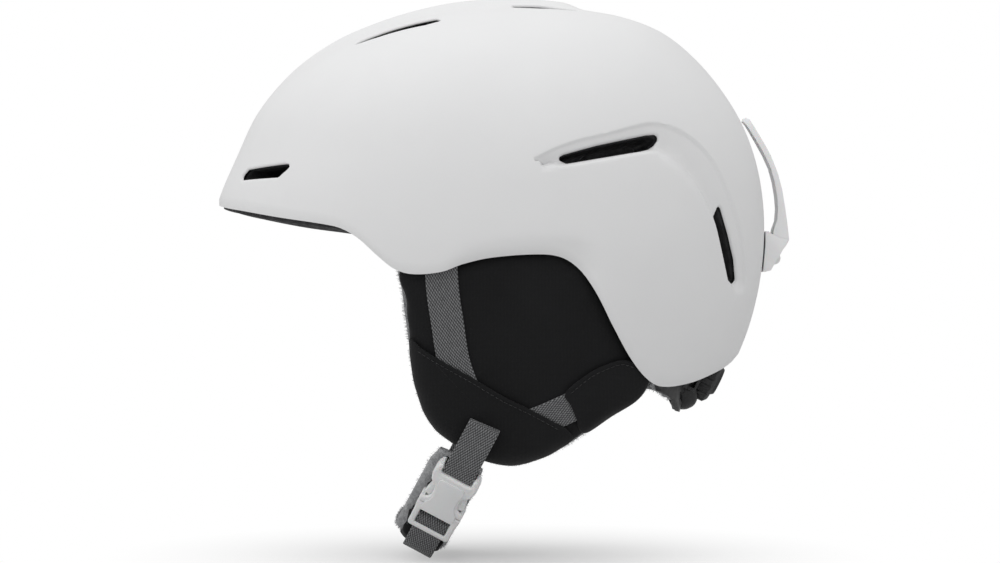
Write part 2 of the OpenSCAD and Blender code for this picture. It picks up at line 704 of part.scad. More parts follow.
module goggle_clip_base() {
    color("whitesmoke") difference() {
        union() {
            side_profile(-12.4, 12.4, [
                [142.2, -12.6], [142.1, -20], [141.3, -29], [140.9, -33.5],
                [142.6, -33.5], [143, -29], [143.9, -20], [144.1, -12.6],
            ]);
            for (x = [-12.4, 9.4]) side_profile(x, x + 3, [
                [143.6, -12.6], [144.6, -13.4], [149.6, -16.2], [154.2, -16.9],
                [149.4, -25.2], [144.9, -32.8], [142.2, -33.4], [142.6, -22],
            ]);
        }
        clip_pin_cylinder(-20, 11.3, 1.5);
        clip_screw_hole(1.75);
    }
}

module goggle_clip_arm() {
    color("whitesmoke") difference() {
        intersection() {
            union() {
                side_profile(-16, 16, [
                    [131, 44.6], [131.6, 46], [132.9, 46.4], [134.8, 45.4], [138, 39.8], [141.7, 33.5],
                    [145.3, 26.8], [149, 17.1], [151.1, 9], [152.7, -1], [154, -10.5], [154.7, -17],
                    [153, -20], [149.6, -24.6], [147, -23.5], [146.3, -20.6], [146.3, -14.5],
                    [147, -11], [148.5, -7], [149, -0.6], [148.5, 5.8], [147.2, 13.3], [145.2, 20.3],
                    [142.2, 26.9], [138.5, 33.5], [135.2, 39], [132.9, 42.6],
                ]);
                clip_pin_cylinder(-9.1, 9.1, 3.2);
            }
            translate([0, 160, 0]) rotate([90, 0, 0]) linear_extrude(40) polygon([
                [-9.1, -31], [-9.1, 8], [-7.5, 30], [-5.6, 42], [-3.5, 47],
                [3.5, 47], [5.6, 42], [7.5, 30], [9.1, 8], [9.1, -31],
            ]);
        }
        clip_pin_cylinder(-20, 20, 1.56);
    }
}

module goggle_clip_pin() {
    color("silver") clip_pin_cylinder(-12.2, 11.2, 1.5);
}

module goggle_clip_screw() {
    color("silver") difference() {
        union() {
            translate([0, 145.5, clip_screw_z]) rotate([90, 0, 0]) cylinder(h = 1.35, r = 3);
            translate([0, 145.4, clip_screw_z]) rotate([90, 0, 0]) cylinder(h = 13, r = 1.5);
        }
        translate([0, 145.3, clip_screw_z]) cube([7, 1, 0.8], center = true);
    }
}

module goggle_clip_nut() {
    color("silver") difference() {
        translate([0, 136.8, clip_screw_z]) cube([10, 2.6, 10], center = true);
        clip_screw_hole(1.5);
    }
}

// ---- Dial and bands ------------------------------------------------------------------

// Dial frame: x to the wearer's left, y down the nape, z out of the back along the dial's axle
dial_centre = [0, 105.9, -84.3];
dial_tilt = 26;
module dial_frame() {
    translate(dial_centre) rotate([-90 - dial_tilt, 0, 0]) children();
}

gear_module = 1;
gear_teeth = 10;
pitch_r = gear_module * gear_teeth / 2;
base_r = pitch_r * cos(20);
tip_r = pitch_r + 0.9 * gear_module;
root_r = pitch_r - 1.1 * gear_module;
gear_play = 0.08;
rack_tip = pitch_r - 0.58 * gear_module;
rack_root = pitch_r + 1.15 * gear_module;
rack_back = rack_root + 2.4;
rack_z = 0.2;
rack_thick = 2.4;

function involute(r) = let(a = acos(base_r / r)) tan(a) * 180 / PI - a;
half_tooth = 90 / gear_teeth - gear_play / pitch_r * 180 / PI;
function tooth_angle(r) = half_tooth + involute(pitch_r) - involute(max(r, base_r));
flank_r = [root_r, base_r, pitch_r - 0.1, pitch_r + 0.3, tip_r];
gear_outline = [for (k = [0:gear_teeth - 1]) let(a = 90 + 360 * k / gear_teeth) each concat(
    [for (i = [0:4]) flank_r[i] * [cos(a - tooth_angle(flank_r[i])), sin(a - tooth_angle(flank_r[i]))]],
    [for (i = [4:-1:0]) flank_r[i] * [cos(a + tooth_angle(flank_r[i])), sin(a + tooth_angle(flank_r[i]))]]
)];

// Rack teeth from x = -from to x = from, on the side of +y, meshing at its rest place
rack_pitch = PI * gear_module;
function rack_teeth(n) = [for (k = [-n:n - 1])
    let(x = (k + 0.5) * rack_pitch, w = rack_pitch / 4 - gear_play) each [
    [x - w - (rack_root - pitch_r) * tan(20), rack_root],
    [x - w + (pitch_r - rack_tip) * tan(20), rack_tip],
    [x + w - (pitch_r - rack_tip) * tan(20), rack_tip],
    [x + w + (rack_root - pitch_r) * tan(20), rack_root],
]];

// Half length of the toothed part of a rack
rack_end = 13.4;
// A band and its rack: the rack lies on the +y side of the pinion and the band leaves towards +x
band_path = [
    [17, 0], [24, 0], [30, -0.8], [36, -3.4], [41, -7.6], [45, -13.2], [48.4, -20], [51.2, -27.5],
    [53.8, -35.5], [56.3, -44], [58.6, -52.5], [60.4, -60],
];
module fit_band() {
    difference() {
        union() {
            translate([0, 0, rack_z]) linear_extrude(rack_thick) polygon([
                [-rack_end, rack_root], each rack_teeth(4), [rack_end, rack_root],
                [19, rack_root], [19, rack_back], [-rack_end, rack_back],
            ]);
            translate([0, rack_back, rack_z + rack_thick / 2]) rotate([90, 0, 0])
                linear_extrude(10) polygon(ribbon(band_path, band_thickness));
        }
        for (p = [[54, -35], [56, -43], [58, -51]]) translate([p[0], rack_back - 5, p[1]]) rotate([0, 90, 0])
            cylinder(h = 12, r = 1.6, center = true);
    }
}

module fit_band_left() {
    color("black") dial_frame() mirror([0, 1, 0]) fit_band();
}

module fit_band_right() {
    color("black") dial_frame() mirror([1, 0, 0]) fit_band();
}

housing_y = rack_back + 2;
module dial_housing() {
    color("black") dial_frame() difference() {
        translate([0, 0, -0.05]) linear_extrude(4.2) hull() for (x = sides) for (y = sides)
            translate([x * 18, y * (housing_y - 3)]) circle(3);
        translate([-30, -rack_back - 0.15, -1]) cube([60, 2 * rack_back + 0.3, 3.8]);
        translate([0, 0, -1]) cylinder(h = 10, r = 3.3);
        for (x = sides) translate([x * 18, 0, -1]) cylinder(h = 10, r = 1.2);
    }
}

module fit_dial() {
    color("black") dial_frame() difference() {
        union() {
            translate([0, 0, 4.4]) cylinder(h = 6.4, r = dial_radius);
            translate([0, 0, 10.8]) cylinder(h = 1.8, r1 = dial_radius, r2 = dial_radius - 2);
            translate([0, 0, 12]) cylinder(h = 2.6, r1 = dial_radius - 4.2, r2 = dial_radius - 6);
            translate([0, 0, 0.3]) rotate([0, 0, 30]) cylinder(h = 5, r = 2.7, $fn = 6);
            translate([0, 0, 2.8]) cylinder(h = 2, r = 3.2);
        }
        translate([0, 0, 4]) difference() {
            cylinder(h = 5.4, r = dial_radius - 2);
            translate([0, 0, -1]) cylinder(h = 8, r = 5);
        }
        translate([0, 0, -1]) cylinder(h = 10.5, r = 1.25);
        for (k = [0:15]) rotate([0, 0, k * 22.5]) translate([dial_radius + 0.9, 0, 4])
            cylinder(h = 12, r = 1.5);
    }
}

module dial_pinion() {
    color("dimgray") dial_frame() difference() {
        translate([0, 0, rack_z]) linear_extrude(rack_thick) polygon(gear_outline);
        translate([0, 0, -1]) rotate([0, 0, 30]) cylinder(h = 10, r = 2.75, $fn = 6);
    }
}

module dial_axle_screw() {
    color("silver") dial_frame() difference() {
        union() {
            translate([0, 0, -1.8]) cylinder(h = 1.9, r = 3);
            translate([0, 0, -0.1]) cylinder(h = 8.6, r = 1.2);
        }
        translate([0, 0, -1.6]) cube([7, 0.8, 1], center = true);
    }
}

// ---- Nape cradle and height slider ---------------------------------------------------

cradle_r = 54;
// The cradle leans back from the dial, so that its lower edge stands clear of the neck
cradle_turn = 10;
module cradle_frame() { dial_frame() rotate([cradle_turn, 0, 0]) children(); }

module arched(y0, y1, depth, thick) {
    translate([0, y1, 0]) rotate([90, 0, 0]) linear_extrude(y1 - y0)
        polygon(ribbon(arc([0, -cradle_r], cradle_r - depth - thick / 2, 145, 35, 14), thick));
}

// Seen from behind: a broad V, lowest under the dial, with a window on each side
module cradle_shape() {
    linear_extrude(80, center = true) difference() {
        polygon([
            [-40, -1], [-38, -8], [-32, -10], [-20, -9], [-12, -11], [12, -11], [20, -9], [32, -10],
            [38, -8], [40, -1], [40, 8], [36, 15], [24, 17.1], [10, 23], [-10, 23], [-24, 17.1],
            [-36, 15], [-40, 8],
        ]);
        for (x = sides) scale([x, 1])
            polygon([[4, 14], [4, 18], [8, 18.4], [17, 16], [20, 12.6], [14, 12.6]]);
    }
}

module nape_cradle() {
    color("black") difference() {
        union() {
            cradle_frame() intersection() {
                arched(-20, 30, 1, 2.2);
                cradle_shape();
            }
            dial_frame() translate([-20, -10.5, -3.1]) cube([40, 21, 2.9]);
        }
        dial_frame() translate([-21.4, -10.8, -0.15]) cube([42.8, 21.6, 12]);
        dial_frame() translate([-8.2, -12, -14]) cube([16.4, 17.2, 10.9]);
        dial_frame() translate([0, 0, -5]) cylinder(h = 10, r = 3.2);
        dial_frame() for (x = sides) translate([x * 18, 0, -9]) cylinder(h = 12, r = 1.2);
        cradle_frame() for (x = sides) translate([x * 28, 6, -30]) cylinder(h = 30, r = 3);
    }
}

module nape_pads() {
    color("gray") cradle_frame() intersection() {
        arched(-30, 40, 3.5, 5);
        for (x = sides) translate([x * 27, 6, 0]) linear_extrude(80, center = true)
            hull() for (p = [[-7, -10], [7, -10], [7.5, 5], [-3, 8.5], [-7, 8.5]]) translate(p) circle(4);
    }
}

// Guide frame: z up the slide, y out towards the liner
guide_tilt = 7;
module guide_frame() {
    translate([0, 108.6, -31]) rotate([-guide_tilt, 0, 0]) children();
}

// The guide's screws run out into the liner on either side of the slide
module guide_screw_sites() {
    for (s = sides) guide_frame() translate([s * 15.5, 0, 0]) rotate([-90, 0, 0]) children();
}

module height_slider() {
    color("black") difference() {
        union() {
            guide_frame() translate([-8, -1.2, -50]) cube([16, 2.4, 62]);
            dial_frame() translate([-8, -9, -8.4]) cube([16, 14, 5.8]);
        }
        dial_frame() translate([-10, -30, -3.2]) cube([20, 60, 30]);
        guide_frame() translate([0, 5, -12]) rotate([90, 0, 0]) linear_extrude(10)
            hull() for (z = [-10, 10]) translate([0, z]) circle(3.2);
    }
}

module height_guide() {
    color("black") guide_frame() difference() {
        union() {
            translate([-11, -2.8, -14]) cube([22, 4.6, 28]);
            translate([-19, 0.2, -5]) cube([38, 1.6, 10]);
        }
        translate([-8.15, -1.35, -15]) cube([16.3, 2.6, 30]);
        translate([-6, -5, -15]) cube([12, 5, 30]);
        for (s = sides) translate([s * 15.5, -3, 0]) rotate([-90, 0, 0]) cylinder(h = 10, r = 1.3);
    }
}

module height_guide_screws() {
    color("silver") guide_screw_sites() difference() {
        union() {
            translate([0, 0, -1.2]) cylinder(h = 1.4, r = 2.4);
            translate([0, 0, 0]) cylinder(h = 14, r = 1.2);
        }
        translate([0, 0, -1]) cube([5.4, 0.7, 0.8], center = true);
    }
}

outer_shell();
foam_liner();
brow_pad();
crown_pad();
side_pad_left();
side_pad_right();
pad_hook_discs();
strap_anchors();
ear_pad_foam_left();
ear_pad_foam_right();
ear_pad_lining_left();
ear_pad_lining_right();
ear_pad_front_sleeve_left();
ear_pad_front_sleeve_right();
ear_pad_rear_sleeve_left();
ear_pad_rear_sleeve_right();
ear_pad_tabs_left();
ear_pad_tabs_right();
front_webbing_left();
front_webbing_right();
rear_webbing_left();
rear_webbing_right();
chin_webbing_left();
chin_webbing_right();
chin_pad_cover();
chin_pad_fleece();
buckle_socket();
buckle_plug();
buckle_latch_front();
buckle_latch_rear();
goggle_clip_base();
goggle_clip_arm();
goggle_clip_pin();
goggle_clip_screw();
goggle_clip_nut();
fit_dial();
dial_pinion();
dial_axle_screw();
dial_housing();
fit_band_left();
fit_band_right();
nape_cradle();
nape_pads();
height_slider();
height_guide();
height_guide_screws();
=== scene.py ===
"""Looks of the ski helmet: every visible surface, made in the CAD frame and riding on the CAD bodies.

Lengths in this script are millimetres until a mesh is made, and metres in Blender.
"""

import json
import math

import bmesh
import bpy
import numpy as np
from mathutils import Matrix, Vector
from mathutils.bvhtree import BVHTree


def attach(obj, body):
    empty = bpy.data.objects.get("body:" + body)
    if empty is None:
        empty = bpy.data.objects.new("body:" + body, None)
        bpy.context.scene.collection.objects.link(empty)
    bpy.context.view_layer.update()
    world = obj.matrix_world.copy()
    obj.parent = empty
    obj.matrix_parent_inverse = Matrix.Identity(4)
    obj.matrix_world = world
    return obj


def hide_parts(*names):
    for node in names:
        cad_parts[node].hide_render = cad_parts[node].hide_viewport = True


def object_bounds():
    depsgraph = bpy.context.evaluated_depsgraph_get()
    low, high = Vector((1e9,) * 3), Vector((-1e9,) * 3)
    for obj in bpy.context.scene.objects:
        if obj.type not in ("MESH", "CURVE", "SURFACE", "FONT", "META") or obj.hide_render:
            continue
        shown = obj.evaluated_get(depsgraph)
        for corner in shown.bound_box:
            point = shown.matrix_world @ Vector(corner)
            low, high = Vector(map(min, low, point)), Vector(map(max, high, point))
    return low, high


MM = 0.001
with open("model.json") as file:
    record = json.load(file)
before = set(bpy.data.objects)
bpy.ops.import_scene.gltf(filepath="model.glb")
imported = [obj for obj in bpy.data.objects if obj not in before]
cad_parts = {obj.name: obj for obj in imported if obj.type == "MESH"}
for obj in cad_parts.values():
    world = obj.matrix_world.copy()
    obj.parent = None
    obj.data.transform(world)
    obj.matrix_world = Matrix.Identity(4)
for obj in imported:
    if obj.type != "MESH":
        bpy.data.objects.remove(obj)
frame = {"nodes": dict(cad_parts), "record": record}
cad_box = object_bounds()

# ---- Driving dimensions --------------------------------------------------------------

SHELL_WALL = 2.2
FOAM_TOP = 2.8
FOAM_CROWN = 25.0
FOAM_SIDE = 20.0
WEB_WIDTH = 16.0
WEB_THICKNESS = 1.4
STRAP_TILT = 28.0
RIM_ROUND = 1.0
SCOOP_STEP = 1.3
SCOOP_STEP_RUN = 1.1
SCOOP_FALL = 3.8
ROLL_SLOPE = 0.3
VENT_RIM_THINNED, VENT_RIM_REACH = 1.1, 2.5
FOAM_HOLE_INSET = 0.4
SHELL_GRID, SHELL_REFINED = (288, 76), (5.0, 2.4)
LINER_GRID, LINER_REFINED = (200, 54), (4.0, 2.0)

# ---- The shell's surface -------------------------------------------------------------

# Polar about this point: th runs from the front (0) past the side to the back (180),
# ph from the crown down. The radii stand every 10 degrees of ph.
CENTRE = np.array([0.0, 15.0, 0.0])
RADIUS_STEP = 10.0
FRONT_RADII = [105, 106.3, 109, 113, 119, 127, 136, 143.3, 148.2, 156.3, 163, 168, 172, 176, 180, 184]
SIDE_RADII = [105, 105.6, 107, 109, 111, 112.5, 113, 112.5, 111.5, 111, 112, 114, 118, 125, 136, 150]
REAR_RADII = [105, 105.2, 107, 112, 116.6, 118.8, 120.7, 123, 124.8, 126.4, 128.4, 131.3, 135, 139, 143, 148]
FULLNESS = 0.25

# Height of the shell's lower edge, and of the liner's edge above it, round the helmet
EDGE_LINE = [
    (0, 1), (20, -2.5), (35, -7.5), (46, -11.5), (49, -14), (52, -18.5), (55.5, -26), (59, -32.5),
    (63, -35.2), (70, -34.2), (75.5, -30.7), (82.5, -27.8), (95, -26.2), (101, -28), (106, -34.5),
    (110, -44.5), (115, -60), (121, -75.5), (127, -86), (133, -91), (143, -90), (155, -85),
    (168, -80), (180, -78),
]
FOAM_RISE_LINE = [
    (0, -1.5), (46, -1.5), (56, 5), (63, 8), (95, 8.5), (105, 11), (112, 14), (121, 14),
    (127, 10), (133, 6.5), (143, 5), (150, 9), (158, 22), (168, 26), (180, 26),
]

# Vent outlines: [y, z] seen from the side, [x, y] seen from above, [across, z] at the brow
UPPER_SIDE_VENT = [(32.5, 21), (37.5, 18.5), (74, 24.9), (77.8, 25.9), (80.7, 27.9),
                   (82.6, 30.4), (82.8, 32.4), (81.2, 33.5), (77, 33.1), (52, 27.5), (36, 23)]
REAR_SIDE_VENT = [
    (114.2, 0.5), (119.2, -15), (122.6, -28), (123.8, -38), (122, -40.4), (119, -38), (111.2, -6.5),
]
BROW_VENT = [(-19, 12.4), (-20, 14.5), (-16.5, 17.6), (13.5, 19.6), (17.5, 18.8), (11, 13)]
FRONT_TOP_VENT = [(46, -76), (46.5, -50), (48, -27), (53, -24.5), (54.5, -32), (51.5, -56)]
REAR_TOP_VENT = [(31, 12), (31, 26), (35.5, 47), (37.5, 44), (38, 24), (36, 11)]

# The scoop round the side vents, seen from the side: its sharp outer edge, then its soft inner one
SCOOP_OUTER = [
    (20.7, 20.5), (30, 25.5), (42.3, 30), (57.8, 33.8), (71, 37.5), (79, 39.1), (87, 38.3), (96, 34.8),
    (104.2, 29), (111.4, 20.9), (117.5, 9.8), (122.6, -2.4), (126.6, -15.9), (128.9, -29.6),
    (129.4, -41), (127.8, -45.8),
]
SCOOP_INNER = [
    (30, 17.4), (37.5, 16.6), (60, 20.4), (72, 22.8), (80, 23.3), (87, 20.3), (94, 14.9), (100.2, 7.9),
    (106.2, -1.5), (111.2, -11.5), (115.2, -25), (119.2, -38.7), (122.6, -44.3),
]
# The line above the ear where the shell turns in
ROLL_LINE = [
    (-24, -32), (-16.3, -25.4), (-8.3, -21.4), (2.4, -18.7), (18.4, -17.1), (35.8, -16.3), (46.5, -17.4),
    (60, -24),
]
ROLL_START, ROLL_END = ROLL_LINE[0][0], ROLL_LINE[-1][0]


def smooth(t):
    c = np.clip(t, 0, 1)
    return c * c * (3 - 2 * c)


def unit(v):
    return v / np.maximum(np.linalg.norm(v, axis=-1, keepdims=True), 1e-12)


def hermite(a, b, leaving, arriving, t):
    """A smooth step from a to b with the given tangents, for t from 0 to 1."""
    back = 1 - t
    from_start = a * (1 + 2 * t) * back**2 + leaving * t * back**2
    return from_start + b * t * t * (3 - 2 * t) - arriving * t * t * back


def curve(table, x):
    """A smooth curve through a table of (x, y) rows."""
    rows = np.array(table, float)
    xs, ys = rows[:, 0], rows[:, 1]
    slopes = np.zeros(len(xs))
    slopes[1:-1] = (ys[2:] - ys[:-2]) / (xs[2:] - xs[:-2])
    i = np.clip(np.searchsorted(xs, x, side="right") - 1, 0, len(xs) - 2)
    w = xs[i + 1] - xs[i]
    return hermite(ys[i], ys[i + 1], slopes[i] * w, slopes[i + 1] * w, (x - xs[i]) / w)


def radii_curve(values, ph):
    """A smooth curve through radii set every RADIUS_STEP degrees, level at both ends."""
    v = np.array(values, float)
    n = len(v)
    i = np.clip((ph // RADIUS_STEP).astype(int), 0, n - 2)
    a, b = v[i], v[i + 1]
    leaving = np.where(i > 0, (b - v[np.maximum(i - 1, 0)]) / 2, 0.0)
    arriving = np.where(i < n - 2, (v[np.minimum(i + 2, n - 1)] - a) / 2, 0.0)
    return hermite(a, b, leaving, arriving, ph / RADIUS_STEP - i)


def length_along(path):
    """Distance from the start of a path to each of its points."""
    return np.concatenate([[0], np.cumsum(np.linalg.norm(np.diff(path, axis=0), axis=1))])


def shell_radius(th, ph):
    """Distance of the shell's surface from CENTRE; angles in degrees."""
    low = np.minimum(ph, 150.0)
    c, s = np.abs(np.cos(np.radians(th))), np.abs(np.sin(np.radians(th)))
    ends = np.where(np.cos(np.radians(th)) > 0, radii_curve(FRONT_RADII, low), radii_curve(REAR_RADII, low))
    flank = radii_curve(SIDE_RADII, low)
    n = 2 + FULLNESS * np.sin(np.radians(np.minimum(ph, 90))) ** 2
    return ((c / ends) ** n + (s / flank) ** n) ** (-1 / n)


def direction(th, ph):
    t, p = np.radians(th), np.radians(ph)
    return np.stack([np.sin(p) * np.sin(t), -np.sin(p) * np.cos(t), np.cos(p)], -1)


def skin_point(th, ph, depth):
    return CENTRE + (shell_radius(th, ph) - depth)[..., None] * direction(th, ph)


def ridge(p):
    return (
        2.5 * (1 - smooth((np.abs(p[..., 0]) - 20) / 14)) * smooth((p[..., 1] + 120) / 50)
        * (1 - smooth((p[..., 1] - 36) / 14))
    )


def polar_of(v):
    """th folded to 0..180 and ph of vectors from CENTRE."""
    th = np.degrees(np.arctan2(np.abs(v[..., 0]), -v[..., 1]))
    ph = np.degrees(np.arctan2(np.hypot(v[..., 0], v[..., 1]), v[..., 2]))
    return th, ph


def angle_at(th, z):
    """The polar angle at which the surface comes down to height z."""
    low, high = np.full(np.shape(th), 60.0), np.full(np.shape(th), 150.0)
    for _ in range(24):
        mid = (low + high) / 2
        above = skin_point(th, mid, np.zeros_like(mid))[..., 2] > z
        low, high = np.where(above, mid, low), np.where(above, high, mid)
    return (low + high) / 2


def on_side(flat, depth):
    """Points at (y, z) seen from the side, depth in along x from the surface there."""
    flat = np.asarray(flat, float)
    low, high = np.full(flat.shape[:-1], 20.0), np.full(flat.shape[:-1], 125.0)
    for _ in range(26):
        x = (low + high) / 2
        v = np.stack([x, flat[..., 0] - CENTRE[1], flat[..., 1]], -1)
        th, ph = polar_of(v)
        outside = np.linalg.norm(v, axis=-1) > shell_radius(th, ph)
        low, high = np.where(outside, low, x), np.where(outside, x, high)
    return np.stack([(low + high) / 2 - depth, flat[..., 0], flat[..., 1]], -1)


def side_normal(flat, step=0.5):
    """Direction out of the surface at (y, z) seen from the side."""
    flat = np.asarray(flat, float)
    slopes = [(on_side(flat + d, 0)[..., 0] - on_side(flat - d, 0)[..., 0]) / (2 * step)
              for d in ((step, 0), (0, step))]
    return unit(np.stack([np.ones(flat.shape[:-1]), -slopes[0], -slopes[1]], -1))


def foam_thickness(th, ph):
    flank = np.sin(np.radians(th)) ** 2 * smooth(ph / 70)
    taper = smooth((ph - 104) / 18) * smooth((th - 112) / 16)
    return (FOAM_CROWN * (1 - flank) + FOAM_SIDE * flank) * (1 - 0.52 * taper)


def on_foam(flat, depth):
    """Points of the liner's inner face, depth in from it, at polar angles (th, ph)."""
    flat = np.asarray(flat, float)
    th, ph = flat[..., 0], flat[..., 1]
    return skin_point(th, ph, FOAM_TOP + foam_thickness(np.abs(th), ph) + depth)


def on_top(flat, depth):
    """Points of the liner's inner face, depth in from it, where it is seen from above at (x, y)."""
    flat = np.asarray(flat, float)
    z = np.full(flat.shape[:-1], 80.0)
    for _ in range(7):
        v = np.stack([flat[..., 0], flat[..., 1] - CENTRE[1], z], -1)
        th, ph = polar_of(v)
        r = shell_radius(th, ph) - FOAM_TOP - foam_thickness(th, ph) - depth
        z = np.sqrt(np.maximum(1, r * r - v[..., 0] ** 2 - v[..., 1] ** 2))
    return np.stack([flat[..., 0], flat[..., 1], z], -1)


# ---- Fields on the surface -----------------------------------------------------------


def outline_field(flat, outline, corner=0.9):
    """Signed distance to a convex outline with its corners rounded: negative inside it."""
    pts = np.array(outline, float)
    nxt = np.roll(pts, -1, 0)
    if np.sum(pts[:, 0] * nxt[:, 1] - nxt[:, 0] * pts[:, 1]) < 0:
        pts = pts[::-1]
    edge = np.roll(pts, -1, 0) - pts
    normal = unit(np.stack([edge[:, 1], -edge[:, 0]], -1))
    before = np.roll(normal, 1, 0)
    core = pts - corner * (normal + before) / (1 + np.sum(normal * before, 1, keepdims=True))
    depth = np.max([(flat - c) @ n for c, n in zip(core, normal)], 0)
    return np.where(depth < 0, depth, line_distance(flat, np.vstack([core, core[:1]]))) - corner


def vent_field(p):
    """Distance from the nearest vent's edge: positive on the shell, negative in a vent."""
    x, y, z = np.abs(p[..., 0]), p[..., 1], p[..., 2]
    side = np.stack([y, z], -1)
    top = np.stack([x, y], -1)
    turn = math.radians(24)
    bx, by = x * math.cos(turn) + y * math.sin(turn), -x * math.sin(turn) + y * math.cos(turn)
    fields = [
        np.where(x > 60, outline_field(side, UPPER_SIDE_VENT, 1.3), 99.0),
        np.where(x > 34, outline_field(side, REAR_SIDE_VENT, 1.1), 99.0),
        np.where(by < -80, outline_field(np.stack([bx - 14, z], -1), BROW_VENT, 1.2), 99.0),
        np.where(z > 40, outline_field(top, FRONT_TOP_VENT, 1.2), 99.0),
        np.where(z > 60, outline_field(top, REAR_TOP_VENT, 1.2), 99.0),
    ]
    return np.minimum.reduce(fields)


def line_distance(flat, line):
    """Distance to a line through points."""
    best = np.full(flat.shape[:-1], 1e9)
    for a, b in zip(np.array(line[:-1], float), np.array(line[1:], float)):
        t = np.clip(((flat - a) @ (b - a)) / np.dot(b - a, b - a), 0, 1)
        best = np.minimum(best, np.linalg.norm(flat - a - t[..., None] * (b - a), axis=-1))
    return best


def inside(flat, outline):
    """Whether points lie within a closed outline."""
    hit = np.zeros(flat.shape[:-1], bool)
    for a, b in zip(outline, outline[1:] + outline[:1]):
        crosses = (a[1] > flat[..., 1]) != (b[1] > flat[..., 1])
        rise = b[1] - a[1] if b[1] != a[1] else 1e-9
        hit ^= crosses & (flat[..., 0] < (b[0] - a[0]) * (flat[..., 1] - a[1]) / rise + a[0])
    return hit


def refined(line, per_span=4):
    """More points along a line, smooth through the given ones."""
    pts = np.array(line, float)
    t = np.arange(len(pts))
    fine = np.linspace(0, len(pts) - 1, (len(pts) - 1) * per_span + 1)
    return [tuple(p) for p in np.stack([curve(np.stack([t, pts[:, k]], -1), fine) for k in (0, 1)], -1)]


SCOOP_OUTER = refined(SCOOP_OUTER)
SCOOP_INNER = refined(SCOOP_INNER)
SCOOP_OUTLINE = SCOOP_OUTER + SCOOP_INNER[::-1]


def scoop_depth(p):
    """How far the scoop round the side vents is sunk."""
    flat = p[..., 1:3]
    depth = np.zeros(flat.shape[:-1])
    near = (np.abs(p[..., 0]) > 30) & (flat[..., 0] > 15) & (flat[..., 1] > -55) & (flat[..., 1] < 48)
    f = flat[near]
    outer, inner = line_distance(f, SCOOP_OUTER), line_distance(f, SCOOP_INNER)
    share = outer / np.maximum(outer + inner, 1e-6)
    floor = SCOOP_STEP * smooth(outer / SCOOP_STEP_RUN) + SCOOP_FALL * smooth(share / 0.8)
    lower_end = smooth((f[:, 1] + 46) / 8)
    inner_rise = 1 - smooth((share - 0.62) / 0.38)
    depth[near] = np.where(inside(f, SCOOP_OUTLINE), floor * lower_end * inner_rise, 0.0)
    return depth


def roll_depth(p):
    """How far the shell turns in below the line above the ear."""
    y, z = p[..., 1], p[..., 2]
    below = np.maximum(0, curve(ROLL_LINE, np.clip(y, ROLL_START, ROLL_END)) - z)
    ends = smooth((y - ROLL_START) / 8) * (1 - smooth((y - 40) / 18))
    soft = below * below / (below + 1.2)
    return np.where(np.abs(p[..., 0]) > 60, ROLL_SLOPE * np.minimum(soft, 14) * ends, 0.0)


def sunk(p):
    return scoop_depth(p) + roll_depth(p)


# ---- Meshes --------------------------------------------------------------------------


def raw_mesh(name, points, faces):
    """A mesh from millimetre points."""
    mesh = bpy.data.meshes.new(name)
    places = [tuple(p) for p in np.asarray(points) * MM]
    mesh.from_pydata(places, [], [tuple(int(i) for i in f) for f in faces])
    return mesh


def linked(name, data):
    obj = bpy.data.objects.new(name, data)
    bpy.context.scene.collection.objects.link(obj)
    return obj


def make_object(name, points, faces, body, slot_name, uv=None, look=None):
    """A piece from millimetre points, riding on a body, in its slot's look unless another is named."""
    mesh = raw_mesh(name, points, faces)
    mesh.validate()
    mesh.shade_smooth()
    obj = linked(name, mesh)
    mesh.materials.append(looks[look or LOOK_OF_SLOT[slot_name]])
    if uv is not None:
        layer = mesh.uv_layers.new(name="weave")
        index = np.array([loop.vertex_index for loop in mesh.loops])
        layer.data.foreach_set("uv", np.asarray(uv, np.float32)[index].ravel())
    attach(obj, body)
    return obj


def sharpen(obj, degrees=38):
    obj.data.set_sharp_from_angle(angle=math.radians(degrees))


def mirrored(points, faces):
    flipped = np.array(points, float)
    flipped[:, 0] *= -1
    return flipped, [tuple(reversed(f)) for f in faces]


def disc_mesh(columns, rows, edge_angles):
    """A triangulated disc in the plane of polar angles: (ph sin th, -ph cos th)."""
    th = np.arange(columns) * 360 / columns
    edge = edge_angles(th)
    bm = bmesh.new()
    apex = bm.verts.new((0, 0, 0))
    rings = []
    for k in range(1, rows + 1):
        ph = edge * k / rows
        u, v = ph * np.sin(np.radians(th)), -ph * np.cos(np.radians(th))
        rings.append([bm.verts.new((a, b, 0)) for a, b in zip(u, v)])
    for i in range(columns):
        j = (i + 1) % columns
        bm.faces.new((apex, rings[0][j], rings[0][i]))
        for a, b in zip(rings[:-1], rings[1:]):
            bm.faces.new((a[i], a[j], b[j], b[i]))
    return bm


def disc_angles(uv):
    return np.degrees(np.arctan2(uv[:, 0], -uv[:, 1])), np.linalg.norm(uv, axis=1)


def disc_points(uv):
    """Points on the plain surface."""
    th, ph = disc_angles(uv)
    return skin_point(th, ph, np.zeros(len(th)))


def formed_points(uv):
    """Points on the finished surface, with the scoop, the roll and the crown's ridge."""
    th, ph = disc_angles(uv)
    plain = disc_points(uv)
    return skin_point(th, ph, sunk(plain) - ridge(plain))


def refine(bm, closeness, reach):
    """Splits the edges whose middles lie within reach of a feature."""
    edges = list(bm.edges)
    mids = np.array([((e.verts[0].co + e.verts[1].co) / 2)[:2] for e in edges])
    near = closeness(mids) < reach
    chosen = [e for e, n in zip(edges, near) if n]
    bmesh.ops.subdivide_edges(bm, edges=chosen, cuts=1, use_grid_fill=True)


